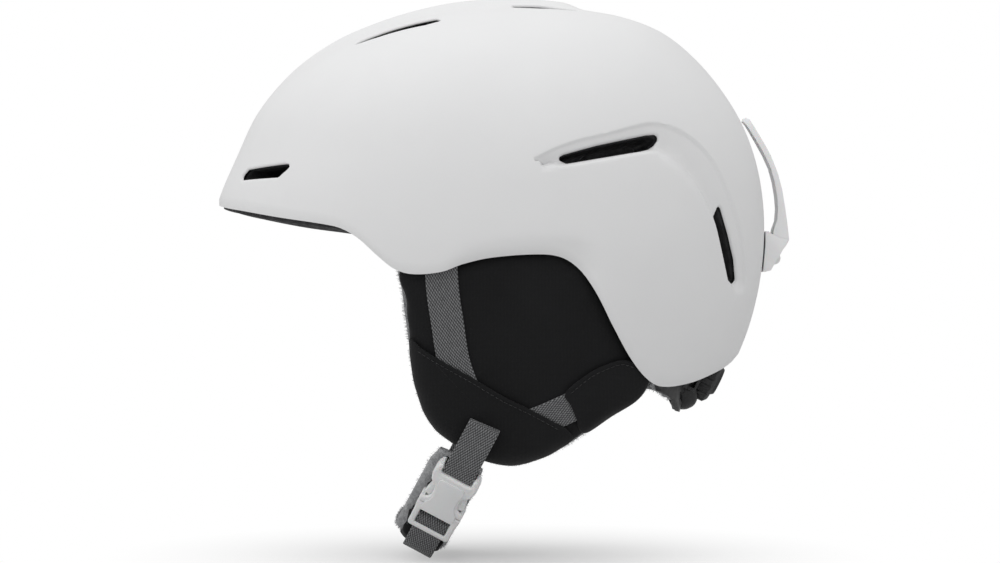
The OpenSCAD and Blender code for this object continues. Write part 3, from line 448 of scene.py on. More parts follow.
def clipped(bm, field):
    """Cuts the disc where field is negative; returns its points and triangles."""
    bmesh.ops.triangulate(bm, faces=bm.faces[:])
    bm.verts.index_update()
    uv = np.array([v.co[:2] for v in bm.verts])
    tris = np.array([[v.index for v in f.verts] for f in bm.faces])
    bm.free()
    f = field(uv)
    keep = f > 0
    count = keep[tris].sum(1)
    faces = [tuple(t) for t in tris[count == 3]]
    extra, known = [], {}

    def crossing(a, b):
        key = (min(a, b), max(a, b))
        if key not in known:
            t = f[a] / (f[a] - f[b])
            extra.append(uv[a] + np.clip(t, 0.02, 0.98) * (uv[b] - uv[a]))
            known[key] = len(uv) + len(extra) - 1
        return known[key]

    for t in tris[(count > 0) & (count < 3)]:
        ring = []
        for a, b in zip(t, np.roll(t, -1)):
            if keep[a]:
                ring.append(a)
            if keep[a] != keep[b]:
                ring.append(crossing(a, b))
        faces.extend((ring[0], ring[i], ring[i + 1]) for i in range(1, len(ring) - 1))
    uv = np.vstack([uv, extra]) if extra else uv
    used = np.unique(np.array(faces))
    place = np.full(len(uv), -1)
    place[used] = np.arange(len(used))
    return uv[used], [tuple(place[list(face)]) for face in faces]


def border_edges(faces):
    """Directed edges with a face on one side only."""
    edges = {(a, b) for f in faces for a, b in zip(f, f[1:] + f[:1])}
    return [(a, b) for a, b in edges if (b, a) not in edges]


def rounded_in(distance, radius):
    """Depth of a rounded rim at a distance from its edge."""
    gap = np.clip(radius - distance, 0, radius)
    return radius - np.sqrt(np.maximum(0, radius * radius - gap * gap))


def two_skins(uv, faces, outer_depth, inner_depth):
    """A closed solid between two skins over the same clipped disc."""
    th, ph = disc_angles(uv)
    outer, inner = skin_point(th, ph, outer_depth), skin_point(th, ph, inner_depth)
    n = len(uv)
    walls = [(b, a, a + n, b + n) for a, b in border_edges(faces)]
    back = [tuple(i + n for i in reversed(f)) for f in faces]
    return np.vstack([outer, inner]), [tuple(f) for f in faces] + back + walls


def outward(points, faces):
    """The faces, turned over if most of them face the inside of the helmet."""
    f = faces[len(faces) // 8]
    a, b, c = (points[i] for i in f[:3])
    return faces if np.dot(np.cross(b - a, c - a), a - CENTRE) > 0 else [tuple(reversed(g)) for g in faces]


def edge_angles(rise=None):
    def angles(th):
        folded = np.where(th > 180, 360 - th, th)
        z = curve(EDGE_LINE, folded)
        if rise:
            z = z + curve(rise, folded)
        return angle_at(th, z)
    return angles


def edge_gap(uv, angles):
    """Distance in millimetres from the lower edge."""
    th, ph = disc_angles(uv)
    th = th % 360
    return np.radians(angles(th) - ph) * shell_radius(th, ph)


def vent_gap(uv):
    return vent_field(formed_points(uv))


def foam_gap(uv):
    """The same for the liner, whose holes are a little smaller than the shell's."""
    return vent_gap(uv) + FOAM_HOLE_INSET


def feature_gap(uv):
    """Closeness to any vent edge or to the scoop's sharp edge."""
    p = disc_points(uv)
    f = np.abs(vent_gap(uv))
    side = (np.abs(p[..., 0]) > 30) & (p[..., 1] > 10)
    scoop = np.full(f.shape, 99.0)
    scoop[side] = line_distance(p[side][:, 1:3], SCOOP_OUTER[::2])
    return np.minimum(f, scoop)


def build_shell():
    angles = edge_angles()
    bm = disc_mesh(*SHELL_GRID, angles)
    for reach in SHELL_REFINED:
        refine(bm, feature_gap, reach)
    uv, faces = clipped(bm, vent_gap)
    plain = disc_points(uv)
    rim = np.minimum(vent_gap(uv), 50)
    gap = np.maximum(edge_gap(uv, angles), 0)
    fall = sunk(plain) - ridge(plain)
    outer = fall + np.maximum(rounded_in(rim, RIM_ROUND), rounded_in(gap, RIM_ROUND))
    thinned = VENT_RIM_THINNED * smooth(1 - rim / VENT_RIM_REACH)
    inner = fall + SHELL_WALL - 0.4 * rounded_in(gap, 0.8) - thinned
    points, faces = two_skins(uv, faces, outer, inner)
    shell = make_object("shell", points, outward(points, faces), "helmet", "shell_white")
    sharpen(shell, 50)
    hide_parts("outer_shell")


def build_liner():
    angles = edge_angles(FOAM_RISE_LINE)
    bm = disc_mesh(*LINER_GRID, angles)
    for reach in LINER_REFINED:
        refine(bm, lambda uv: np.abs(foam_gap(uv)), reach)
    uv, faces = clipped(bm, foam_gap)
    plain = disc_points(uv)
    rim = foam_gap(uv)
    gap = np.maximum(edge_gap(uv, angles), 0)
    th, ph = disc_angles(uv)
    outer = FOAM_TOP + sunk(plain) + rounded_in(gap, 1.0)
    inner = FOAM_TOP + foam_thickness(np.abs(th), ph) - np.maximum(rounded_in(rim, 3.0), rounded_in(gap, 4.0))
    points, faces = two_skins(uv, faces, outer, np.maximum(inner, outer + 2))
    liner = make_object("liner", points, outward(points, faces), "helmet", "foam_black")
    sharpen(liner, 55)
    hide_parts("foam_liner")


# ---- Node helpers --------------------------------------------------------------------


class Nodes:
    """A small writer of shader nodes for one material."""

    def __init__(self, name):
        self.material = bpy.data.materials.new(name)
        self.material.use_nodes = True
        self.tree = self.material.node_tree
        self.shader = self.tree.nodes["Principled BSDF"]
        self.coord = self.tree.nodes.new("ShaderNodeTexCoord").outputs["Object"]

    def add(self, kind, inputs=None, **settings):
        node = self.tree.nodes.new(kind)
        for key, value in settings.items():
            setattr(node, key, value)
        for key, value in (inputs or {}).items():
            self.put(node.inputs[key], value)
        return node

    def put(self, socket, value):
        if isinstance(value, bpy.types.NodeSocket):
            self.tree.links.new(value, socket)
        else:
            socket.default_value = value

    def noise(self, scale, detail=3.0, roughness=0.5, vector=None):
        inputs = {"Vector": vector or self.coord, "Scale": scale, "Detail": detail, "Roughness": roughness}
        return self.add("ShaderNodeTexNoise", inputs).outputs["Fac"]

    def cells(self, scale, vector=None, output="Distance", feature="F1"):
        return self.add("ShaderNodeTexVoronoi", {"Vector": vector or self.coord, "Scale": scale},
                        feature=feature).outputs[output]

    def math(self, operation, a, b=0.0):
        node = self.add("ShaderNodeMath", operation=operation)
        self.put(node.inputs[0], a)
        self.put(node.inputs[1], b)
        return node.outputs[0]

    def mixed(self, a, share_a, b, share_b):
        """A weighted sum of two values."""
        return self.math("ADD", self.math("MULTIPLY", a, share_a), self.math("MULTIPLY", b, share_b))

    def bands(self, scale, distortion, direction, **more):
        inputs = {"Vector": self.coord, "Scale": scale, "Distortion": distortion, **more}
        wave = self.add("ShaderNodeTexWave", inputs, wave_type="BANDS", bands_direction=direction)
        return wave.outputs["Fac"]

    def worn(self, low, high, to_high):
        """Rises from 0 on handled edges, where the surface is pointed."""
        pointed = self.add("ShaderNodeNewGeometry").outputs["Pointiness"]
        return self.span(pointed, low, high, 0.0, to_high)

    def span(self, value, low, high, to_low=0.0, to_high=1.0):
        return self.add("ShaderNodeMapRange", {
            "Value": value, "From Min": low, "From Max": high, "To Min": to_low, "To Max": to_high,
        }).outputs["Result"]

    def ramp(self, value, *stops):
        node = self.add("ShaderNodeValToRGB", {"Fac": value})
        ramp = node.color_ramp
        while len(ramp.elements) < len(stops):
            ramp.elements.new(0.5)
        for element, (place, colour) in zip(ramp.elements, stops):
            element.position = place
            element.color = (*colour, 1)
        return node.outputs["Color"]

    def stretched(self, scale, rotation=(0, 0, 0), vector=None):
        return self.add("ShaderNodeMapping", {
            "Vector": vector or self.coord, "Scale": scale, "Rotation": rotation,
        }).outputs["Vector"]

    def bump(self, height, distance, strength=1.0, onto=None):
        inputs = {"Height": height, "Distance": distance, "Strength": strength}
        if onto is not None:
            inputs["Normal"] = onto
        return self.add("ShaderNodeBump", inputs).outputs["Normal"]

    def finish(self, **sockets):
        names = {
            "colour": "Base Color", "roughness": "Roughness", "metallic": "Metallic", "normal": "Normal",
            "sheen": "Sheen Weight", "sheen_roughness": "Sheen Roughness", "specular": "Specular IOR Level",
            "coat": "Coat Weight", "coat_roughness": "Coat Roughness", "subsurface": "Subsurface Weight",
            "subsurface_scale": "Subsurface Scale",
        }
        for key, value in sockets.items():
            self.put(self.shader.inputs[names[key]], value)
        return self.material


def shade(value, tint=(1, 1, 1)):
    return tuple(value * t for t in tint)


def shell_material():
    """Matte white moulding: fine grain, faint clouding, and rubbed, slightly glossier rims."""
    n = Nodes("shell_white")
    tone = n.mixed(n.noise(9, 4, 0.6), 0.75, n.noise(1400, 2), 0.25)
    colour = n.ramp(tone, (0.30, (0.745, 0.747, 0.752)), (0.70, (0.785, 0.786, 0.789)))
    gloss = n.span(n.noise(60, 5, 0.65), 0.3, 0.7, 0.47, 0.56)
    rough = n.math("SUBTRACT", gloss, n.worn(0.53, 0.6, 0.12))
    scuff = n.noise(1.0, 3, 0.6, n.stretched((60, 900, 240), (0.4, 0.2, 0.9)))
    grain = n.bump(n.noise(2600, 2, 0.6), 0.00003, 0.45)
    normal = n.bump(n.span(scuff, 0.62, 0.75), 0.00001, 0.25, grain)
    return n.finish(colour=colour, roughness=rough, normal=normal, specular=0.42)


def foam_material():
    """Expanded polystyrene: pressed beads of about 3 mm with a slight skin gloss."""
    n = Nodes("foam_black")
    bead = n.cells(330)
    tone = n.cells(330, output="Color")
    pick = n.add("ShaderNodeSeparateColor", {"Color": tone}).outputs["Red"]
    tone = n.mixed(pick, 0.6, n.noise(40), 0.4)
    colour = n.ramp(tone, (0.1, (0.011, 0.011, 0.012)), (0.9, (0.034, 0.034, 0.036)))
    rough = n.span(bead, 0.0, 0.7, 0.48, 0.78)
    edge = n.cells(330, feature="DISTANCE_TO_EDGE")
    normal = n.bump(n.span(edge, 0.0, 0.12), 0.00018, 0.7, n.bump(n.noise(1500, 2), 0.00003, 0.4))
    return n.finish(colour=colour, roughness=rough, normal=normal, specular=0.4)


def softshell_material():
    """Smooth black stretch cloth: a fine knit with a soft sheen and a little lint."""
    n = Nodes("softshell_black")
    wale = n.bands(460, 1.2, "Y", **{"Detail": 1.0, "Detail Scale": 3.0})
    course = n.bands(520, 1.5, "Z", Detail=1.0)
    knit = n.math("MULTIPLY", wale, course)
    lint = n.span(n.noise(700, 4, 0.7), 0.64, 0.8)
    cloth = n.mixed(knit, 0.3, n.noise(26, 4, 0.6), 0.5)
    colour = n.ramp(n.math("ADD", cloth, n.math("MULTIPLY", lint, 0.2)), (0.15, (0.0055, 0.0056, 0.006)),
                    (0.7, (0.0125, 0.0128, 0.0138)), (1.0, (0.03, 0.03, 0.032)))
    wrinkle = n.bump(n.noise(95, 3, 0.5), 0.0005, 0.35)
    normal = n.bump(knit, 0.00012, 0.55, wrinkle)
    return n.finish(colour=colour, roughness=n.span(knit, 0, 1, 0.9, 0.76), normal=normal, sheen=0.12,
                    sheen_roughness=0.45, specular=0.2)


def comfort_material():
    """Near-black brushed knit over the comfort pads."""
    n = Nodes("comfort_fabric")
    hair = n.noise(1.0, 4, 0.7, n.stretched((1500, 500, 900), (0.3, 0.5, 0.2)))
    mesh = n.cells(620)
    tone = n.mixed(hair, 0.7, mesh, 0.3)
    colour = n.ramp(tone, (0.25, (0.022, 0.022, 0.025)), (0.8, (0.085, 0.086, 0.092)))
    normal = n.bump(mesh, 0.00018, 0.5, n.bump(n.noise(60, 3), 0.0008, 0.4))
    return n.finish(colour=colour, roughness=0.92, normal=normal, sheen=0.4, sheen_roughness=0.5,
                    specular=0.2)


def fleece_material():
    """Grey heather fleece: clumped pile with light and dark fibres mixed."""
    n = Nodes("fleece_grey")
    fibre = n.noise(1.0, 5, 0.75, n.stretched((2200, 1300, 900), (0.2, 0.7, 0.4)))
    clump = n.noise(210, 4, 0.6)
    heather = n.mixed(fibre, 0.55, clump, 0.45)
    colour = n.ramp(heather, (0.3, (0.13, 0.132, 0.137)), (0.5, (0.33, 0.335, 0.345)),
                    (0.72, (0.62, 0.625, 0.635)))
    normal = n.bump(fibre, 0.0005, 0.7, n.bump(clump, 0.0016, 0.8))
    return n.finish(colour=colour, roughness=0.95, normal=normal, sheen=0.45, sheen_roughness=0.6,
                    specular=0.15)


YARN_ANGLE = math.radians(30)
YARN_PITCH = 1.15


def webbing_material():
    """Charcoal webbing: a net of light yarns on dark ones, with one diagonal stronger than the other."""
    n = Nodes("webbing_grey")
    uv = n.add("ShaderNodeSeparateXYZ", {"Vector": n.add("ShaderNodeUVMap", uv_map="weave").outputs["UV"]})
    across, along = uv.outputs["X"], uv.outputs["Y"]
    lines = []
    for lean in (1, -1):
        over = n.math("MULTIPLY", across, math.cos(YARN_ANGLE))
        down = n.math("MULTIPLY", along, lean * math.sin(YARN_ANGLE))
        lines.append(n.math("SINE", n.math("MULTIPLY", n.math("ADD", over, down), 2 * math.pi / YARN_PITCH)))
    height = n.mixed(lines[0], 0.62, lines[1], 0.38)
    mottled = n.math("ADD", height, n.span(n.noise(900, 3, 0.7), 0.3, 0.7, -0.3, 0.3))
    colour = n.ramp(n.span(mottled, -1, 1), (0.25, (0.050, 0.0505, 0.052)), (0.55, (0.112, 0.113, 0.117)),
                    (0.85, (0.245, 0.248, 0.255)))
    fuzz = n.bump(n.noise(2600, 3, 0.7), 0.00005, 0.5)
    normal = n.bump(height, 0.00022, 0.9, fuzz)
    return n.finish(colour=colour, roughness=n.span(height, -1, 1, 0.85, 0.6), normal=normal, sheen=0.3,
                    sheen_roughness=0.4, specular=0.3)


def white_plastic_material(name, low, high, glaze):
    """Satin white moulding for the buckle and clip: fine spark-eroded grain and handled edges."""
    n = Nodes(name)
    tone = n.mixed(n.noise(35, 4, 0.6), 0.7, n.noise(1800, 2), 0.3)
    colour = n.ramp(tone, (0.3, shade(low, (1, 1.002, 1.008))), (0.7, shade(high, (1, 1.001, 1.004))))
    gloss = n.span(n.noise(140, 4, 0.6), 0.3, 0.7, glaze, glaze + 0.1)
    rough = n.math("SUBTRACT", gloss, n.worn(0.54, 0.62, 0.1))
    normal = n.bump(n.noise(3200, 2, 0.6), 0.00002, 0.5)
    return n.finish(colour=colour, roughness=rough, normal=normal, subsurface=0.08, subsurface_scale=0.0015,
                    specular=0.45)


def black_plastic_material():
    """Black nylon moulding with a fine leather-like grain, paler where it is handled."""
    n = Nodes("black_plastic")
    tone = n.math("ADD", n.math("MULTIPLY", n.noise(60, 4, 0.6), 0.6), n.worn(0.53, 0.62, 0.7))
    colour = n.ramp(tone, (0.2, (0.0095, 0.0096, 0.0102)), (0.9, (0.034, 0.034, 0.036)))
    grain = n.cells(1500)
    rough = n.span(n.noise(220, 4, 0.6), 0.3, 0.7, 0.40, 0.55)
    return n.finish(colour=colour, roughness=rough, normal=n.bump(grain, 0.00004, 0.5), specular=0.5)


def hook_material():
    """Hook tape: a close field of tiny nylon hooks."""
    n = Nodes("hook_tape")
    hooks = n.cells(1400)
    colour = n.ramp(hooks, (0.1, (0.006, 0.006, 0.006)), (0.7, (0.04, 0.04, 0.042)))
    rough = n.span(hooks, 0, 0.6, 0.4, 0.8)
    return n.finish(colour=colour, roughness=rough, normal=n.bump(hooks, 0.0003, 0.8))


def steel_material():
    """Bright plated steel with fine turning marks and a mottled tone."""
    n = Nodes("steel")
    turned = n.noise(1.0, 3, 0.6, n.stretched((300, 4200, 300)))
    colour = n.ramp(n.noise(300, 4, 0.6), (0.3, (0.50, 0.50, 0.49)), (0.7, (0.68, 0.68, 0.67)))
    return n.finish(colour=colour, metallic=1.0, roughness=n.span(turned, 0.3, 0.7, 0.24, 0.42),
                    normal=n.bump(turned, 0.00001, 0.4))


def thread_material():
    """Twisted sewing thread, dark grey."""
    n = Nodes("thread_grey")
    twist = n.bands(900, 1.0, "DIAGONAL")
    colour = n.ramp(twist, (0.1, (0.005, 0.005, 0.006)), (0.9, (0.017, 0.017, 0.018)))
    rough = n.span(twist, 0, 1, 0.55, 0.75)
    return n.finish(colour=colour, roughness=rough, normal=n.bump(twist, 0.00008, 0.8), sheen=0.3)


# ---- Soft pieces ---------------------------------------------------------------------

CLOTH_FRAMES = 20


def loop_through(outline, per_span):
    """Points round a closed outline, smooth through its corners."""
    p = np.array(outline, float)
    o, q, r = np.roll(p, 1, 0), np.roll(p, -1, 0), np.roll(p, -2, 0)
    t = (np.arange(per_span) / per_span)[None, :, None]
    o, p, q, r = (v[:, None, :] for v in (o, p, q, r))
    pts = hermite(p, q, (q - o) / 2, (r - p) / 2, t)
    return pts.reshape(-1, pts.shape[-1])


def two_domes(top, bottom):
    """A closed solid between two stacks of rings; row 0 of each is its apex."""
    rings, n = len(top) - 1, len(top[1])
    points = np.vstack([top[0]] + top[1:] + [bottom[0]] + bottom[1:])
    start = 1 + n * rings
    faces = []
    for i in range(n):
        j = (i + 1) % n
        faces.append((0, 1 + j, 1 + i))
        faces.append((start, start + 1 + i, start + 1 + j))
        for k in range(rings - 1):
            a, b = 1 + k * n, 1 + (k + 1) * n
            faces.append((a + i, a + j, b + j, b + i))
            faces.append((start + b + i, start + b + j, start + a + j, start + a + i))
        a = 1 + (rings - 1) * n
        faces.append((a + i, a + j, start + a + j, start + a + i))
    return points, faces


def laid_pad(outline, lay, depth, thickness, rings=14, per_span=5, edge=0.3, fullness=5):
    """A pad over a flat outline, full in its middle and thin at its edge; depth is its outer face's."""
    loop = loop_through(outline, per_span)
    c = (loop.max(0) + loop.min(0)) / 2
    shares = np.linspace(0, 1, rings + 1)[1:] ** 0.75

    def face(sign):
        stack = [lay(c[None], np.array([depth + (thickness if sign < 0 else 0)]))]
        for s in shares:
            swell = edge + (1 - edge) * math.sqrt(max(0, 1 - s**fullness))
            stack.append(lay(c + s * (loop - c), depth + thickness / 2 - sign * swell * thickness / 2))
        return stack

    return two_domes(face(1), face(-1))


def laid_panel(outline, lay, centre, depth, thickness, rings=14, per_span=6):
    """A thin panel: the third number of each outline point is its depth at the edge."""
    loop = loop_through(outline, per_span)
    c = np.array(centre, float)
    shares = np.linspace(0, 1, rings + 1)[1:] ** 0.6

    def face(sign):
        stack = [lay(c[None], np.array([depth + (thickness if sign < 0 else 0)]))]
        for s in shares:
            swell = 0.25 + 0.75 * math.sqrt(max(0, 1 - s**26))
            middle = depth + thickness / 2 + (loop[:, 2] - depth) * s**8
            stack.append(lay(c + s * (loop[:, :2] - c), middle - sign * swell * thickness / 2))
        return stack

    return two_domes(face(1), face(-1))


def bare_object(points, faces):
    return linked("making", raw_mesh("making", points, faces))


def evaluated_mesh(obj):
    return bpy.data.meshes.new_from_object(obj.evaluated_get(bpy.context.evaluated_depsgraph_get()))


def mesh_arrays(mesh):
    co = np.zeros(len(mesh.vertices) * 3)
    mesh.vertices.foreach_get("co", co)
    return co.reshape(-1, 3) / MM, [tuple(p.vertices) for p in mesh.polygons]


def puffed(points, faces, voxel, pressure, cap):
    """The shape as cloth filled from inside: remeshed, swelled by Blender's Cloth and subdivided once.

    No point moves further than cap.
    """
    obj = bare_object(points, faces)
    remesh = obj.modifiers.new("remesh", "REMESH")
    remesh.mode = "VOXEL"
    remesh.voxel_size = voxel * MM
    obj.data = evaluated_mesh(obj)
    obj.modifiers.clear()
    rest, _ = mesh_arrays(obj.data)
    cloth = obj.modifiers.new("cloth", "CLOTH")
    cloth.settings.use_pressure = True
    cloth.settings.uniform_pressure_force = pressure
    cloth.settings.effector_weights.gravity = 0
    cloth.point_cache.frame_start = 1
    cloth.point_cache.frame_end = CLOTH_FRAMES
    for step in range(1, CLOTH_FRAMES + 1):
        bpy.context.scene.frame_set(step)
    moved, _ = mesh_arrays(evaluated_mesh(obj))
    obj.modifiers.clear()
    bpy.context.scene.frame_set(1)
    shift = moved - rest
    length = np.linalg.norm(shift, axis=1, keepdims=True)
    rest = rest + shift * np.minimum(1, cap / np.maximum(length, 1e-9))
    obj.data.vertices.foreach_set("co", (rest * MM).ravel())
    obj.data.update()
    obj.modifiers.new("subdivision", "SUBSURF").levels = 1
    points, faces = mesh_arrays(evaluated_mesh(obj))
    bpy.data.objects.remove(obj)
    return points, faces


def scattered(points, faces, count, rng, where=None):
    """Random places on a mesh, evenly by area, with their normals."""
    tris = np.array([(f[0], f[i], f[i + 1]) for f in faces for i in range(1, len(f) - 1)])
    if where is not None:
        tris = tris[where(points[tris].mean(1))]
    a, b, c = (points[tris[:, k]] for k in range(3))
    cross = np.cross(b - a, c - a)
    area = np.linalg.norm(cross, axis=1)
    pick = rng.choice(len(tris), count, p=area / area.sum())
    u, v = rng.random((2, count))
    flip = u + v > 1
    u, v = np.where(flip, 1 - u, u)[:, None], np.where(flip, 1 - v, v)[:, None]
    place = a[pick] + u * (b[pick] - a[pick]) + v * (c[pick] - a[pick])
    return place, cross[pick] / area[pick][:, None]


def fibres(place, normal, length, width, rng, lean=0.8):
    """Curved fibres standing on a surface, each a bent strip that ends in a point."""
    n = len(place)
    side = rng.normal(size=(n, 3))
    side -= np.sum(side * normal, 1, keepdims=True) * normal
    side /= np.linalg.norm(side, axis=1, keepdims=True)
    bend = np.cross(normal, side)
    tall = (length * (0.45 + 0.75 * rng.random(n)))[:, None]
    tilt = (lean * (rng.random(n) - 0.2))[:, None]
    wide = side * width / 2
    middle = place + normal * tall * 0.55 + bend * tall * tilt * 0.25
    tip = place + normal * tall * (0.95 - 0.35 * np.abs(tilt)) + bend * tall * tilt
    base = place - normal * 0.3
    corners = [base - wide, base + wide, middle + wide * 0.8, middle - wide * 0.8, tip]
    points = np.stack(corners, 1).reshape(-1, 3)
    start = np.arange(n) * 5
    faces = [(s, s + 1, s + 2, s + 3) for s in start] + [(s + 3, s + 2, s + 4) for s in start]
    return points, faces


def swept(sections):
    """A closed solid through cross-sections, all with the same number of points."""
    n, m = len(sections[0]), len(sections)
    faces = [(k * n + i, k * n + (i + 1) % n, (k + 1) * n + (i + 1) % n, (k + 1) * n + i)
             for k in range(m - 1) for i in range(n)]
    faces += [tuple(range(n - 1, -1, -1)), tuple((m - 1) * n + i for i in range(n))]
    return np.vstack(sections), faces


def resampled(points, spacing):
    """Evenly spaced points along a smooth curve through the given ones."""
    p = np.array(points, float)
    t = length_along(p)
    fine = np.linspace(0, t[-1], max(2, int(round(t[-1] / spacing)) + 1))
    return np.stack([curve(np.stack([t, p[:, k]], -1), fine) for k in range(p.shape[1])], -1)


def web_strip(path, across, outward_dir, width=WEB_WIDTH, thickness=WEB_THICKNESS):
    """Flat webbing with rounded selvedges: points, faces and the weave's coordinates in millimetres."""
    half, t = width / 2, thickness / 2
    corner = [(half - 0.8, t), (half - 0.25, t * 0.8), (half, 0), (half - 0.25, -t * 0.8), (half - 0.8, -t)]
    cross = [(-half, 0), (-half + 0.25, t * 0.8), (-half + 0.8, t), (-half / 2, t * 0.94), (0, t * 0.94),
             (half / 2, t * 0.94), *corner, (0, -t * 0.94), (-half + 0.8, -t), (-half + 0.25, -t * 0.8)]
    along = length_along(path)
    sections = [p + np.array([x * a + y * o for x, y in cross]) for p, a, o in zip(path, across, outward_dir)]
    points, faces = swept(sections)
    uv = np.array([(x + half, s) for s in along for x, _ in cross])
    return points, faces, uv


def web_on_side(path):
    """Webbing laid on the ear pad along [y, z, depth] points; depth is that of its outer face."""
    fine = resampled(path, 2.0)
    flat, depth = fine[:, :2], fine[:, 2]
    heading = unit(np.gradient(flat, axis=0))
    sideways = np.stack([heading[:, 1], -heading[:, 0]], -1)
    reach = 4.0
    depth = depth + WEB_THICKNESS / 2
    left, middle, right = (on_side(flat + k * reach * sideways, depth) for k in (-1, 0, 1))
    across = unit(right - left)
    out = unit(np.cross(across, np.gradient(middle, axis=0)))
    out = np.where(np.sum(out * (middle - CENTRE), 1, keepdims=True) > 0, out, -out)
    return web_strip(middle, across, out)


def oriented(points, faces):
    """The same solid with its faces turned outwards."""
    volume = 0.0
    for f in faces:
        a = points[f[0]]
        for i in range(1, len(f) - 1):
            volume += np.dot(a, np.cross(points[f[i]], points[f[i + 1]]))
    return faces if volume > 0 else [tuple(reversed(f)) for f in faces]


def stitch_row(path, normals, pitch=2.6, length=1.8, radius=0.22):
    """A row of stitches, each a short rounded thread lying on the surface."""
    along = length_along(path)
    points, faces = [], []
    for s in np.arange(pitch / 2, along[-1] - pitch / 2, pitch):
        at = np.array([np.interp(s, along, path[:, k]) for k in range(3)])
        ahead = np.array([np.interp(s + 0.5, along, path[:, k]) for k in range(3)])
        out = unit(np.array([np.interp(s, along, normals[:, k]) for k in range(3)]))
        t = unit(ahead - at)
        w = np.cross(t, out)
        sections = []
        for u in (-1, -0.7, 0, 0.7, 1):
            r = radius * math.sqrt(max(0.06, 1 - u * u))
            lift = radius * (0.9 - 0.8 * u * u)
            sections.append([at + t * u * length / 2 + out * (lift + r * math.sin(a)) + w * r * math.cos(a)
                             for a in np.arange(6) * math.pi / 3])
        p, f = swept([np.array(c) for c in sections])
        faces += [tuple(i + sum(len(q) for q in points) for i in g) for g in f]
        points.append(p)
    return np.vstack(points), faces


# ---- Ear pads ------------------------------------------------------------------------

EAR_DEPTH = 6.0
EAR_THICKNESS = 11.0
EAR_OUTLINE = [
    (-44.6, -31.5), (-43, -45), (-40.3, -67.3), (-37.8, -84.9), (-34.8, -96.6), (-31.9, -104.4),
    (-26.5, -112.2), (-19.2, -118), (-9.4, -124.2), (0.3, -128.5), (12.5, -130.2), (26.2, -126.2),
    (35, -121.8), (41.8, -118.2), (49, -113.2), (60.4, -105.5), (72.6, -97.8), (79, -90.4),
    (79.6, -85), (75.3, -79.6), (71.2, -74), (67.3, -66.8), (62.9, -58.6), (58.3, -49.2), (55, -43.1),
    (49, -33.5), (43, -26.8), (35, -22.8), (24.6, -21.5), (5, -22.5), (-13, -26.3), (-33, -30.3),
]
FRONT_SLEEVE = [
    (-39.2, -66.8, 7), (-34, -70.5, 3), (-27, -75.1, 2.7), (-17, -80.8, 2.7), (-8, -85.8, 2.7),
    (7.2, -95, 2.7), (19.8, -101.2, 2.7), (31, -107.2, 2.7), (37.4, -110.8, 3), (41.2, -116.2, 4.2),
    (34, -122, 8), (26.2, -126.1, 8), (12.5, -130.1, 8), (0.3, -128.4, 8), (-9.4, -124.1, 8),
    (-19.2, -117.9, 8), (-26.5, -112.1, 8), (-31.9, -104.3, 8), (-34.8, -96.5, 8), (-37.8, -84.8, 8),
]
REAR_SLEEVE = [
    (37.2, -93, 2.8), (40, -99.5, 2.8), (42.8, -106.2, 2.9), (44.6, -112, 6), (49, -113.1, 8),
    (60.4, -105.4, 7), (72.6, -97.7, 4), (78.2, -90, 3.1), (77.5, -84, 2.8), (72, -79, 2.8),
    (65.3, -77, 2.8), (57, -79.3, 2.8), (48.4, -83.6, 2.8),
]
FRONT_WEB = [
    (-23.4, -20.5, 6.2), (-23.4, -27, 5.5), (-23.3, -33, 4.7), (-22.4, -45, 4.3), (-20.2, -60, 4.3),
    (-17.8, -76, 4.3), (-14, -88, 4.3), (-9, -98, 4.3), (-6, -103.2, 4.3),
]
REAR_WEB = [
    (82.8, -80.4, 8.9), (79, -82.3, 7), (74, -84.7, 5.3), (62, -90, 4.4), (50, -95.6, 4.3),
    (36, -102.1, 4.3), (24, -107.6, 4.3), (14, -111, 4.3),
]
LINING_DEPTH = 16.2
LINING_THICKNESS = 4.8
EAR_MIDDLE = np.array([12.0, -76.0])
EAR_RIM_BAND = 2.6
EAR_FIBRES = 5200
EAR_INSET = 0.4
EAR_SWELL = 0.6  # left on each face for the cloth to swell into
SLEEVE_THICKNESS = 1.3
SEAM_INSET = 2.2
STITCH_DEPTH, THREAD_RADIUS = 2.32, 0.17
SIDES = ((1, "left"), (-1, "right"))


def for_side(side, points, faces):
    return (points, faces) if side > 0 else mirrored(points, faces)


def inset(outline, by):
    """An outline drawn in towards its middle."""
    loop = np.array(outline, float)
    flat = loop[:, :2]
    heading = unit(np.roll(flat, -1, 0) - np.roll(flat, 1, 0))
    normal = np.stack([heading[:, 1], -heading[:, 0]], -1)
    c = (flat.max(0) + flat.min(0)) / 2
    normal *= np.where(np.sum(normal * (flat - c), 1, keepdims=True) > 0, 1, -1)
    loop[:, :2] = flat - normal * by
    return loop


def at_ear_rim(p):
    outer = np.array(EAR_OUTLINE)
    return line_distance(p[:, 1:3], np.vstack([outer, outer[:1]])) < EAR_RIM_BAND


def ear_lining_fibres(points, faces, rng):
    """Loose fibres of the lining: those at its rim lean outwards, the others stand on its inner face."""
    place, normal = scattered(points, faces, EAR_FIBRES, rng, at_ear_rim)
    away = np.concatenate([np.zeros((len(place), 1)), unit(place[:, 1:3] - EAR_MIDDLE)], 1)
    rim = fibres(place, unit(normal + 0.5 * away), 1.7, 0.16, rng, 1.0)
    place, normal = scattered(points, faces, EAR_FIBRES, rng, lambda p: ~at_ear_rim(p) & (p[:, 2] < -30))
    inner = np.sum(normal * (place - CENTRE), 1) < 0
    return {"rim": rim, "face": fibres(place[inner], normal[inner], 1.7, 0.18, rng, 1.1)}


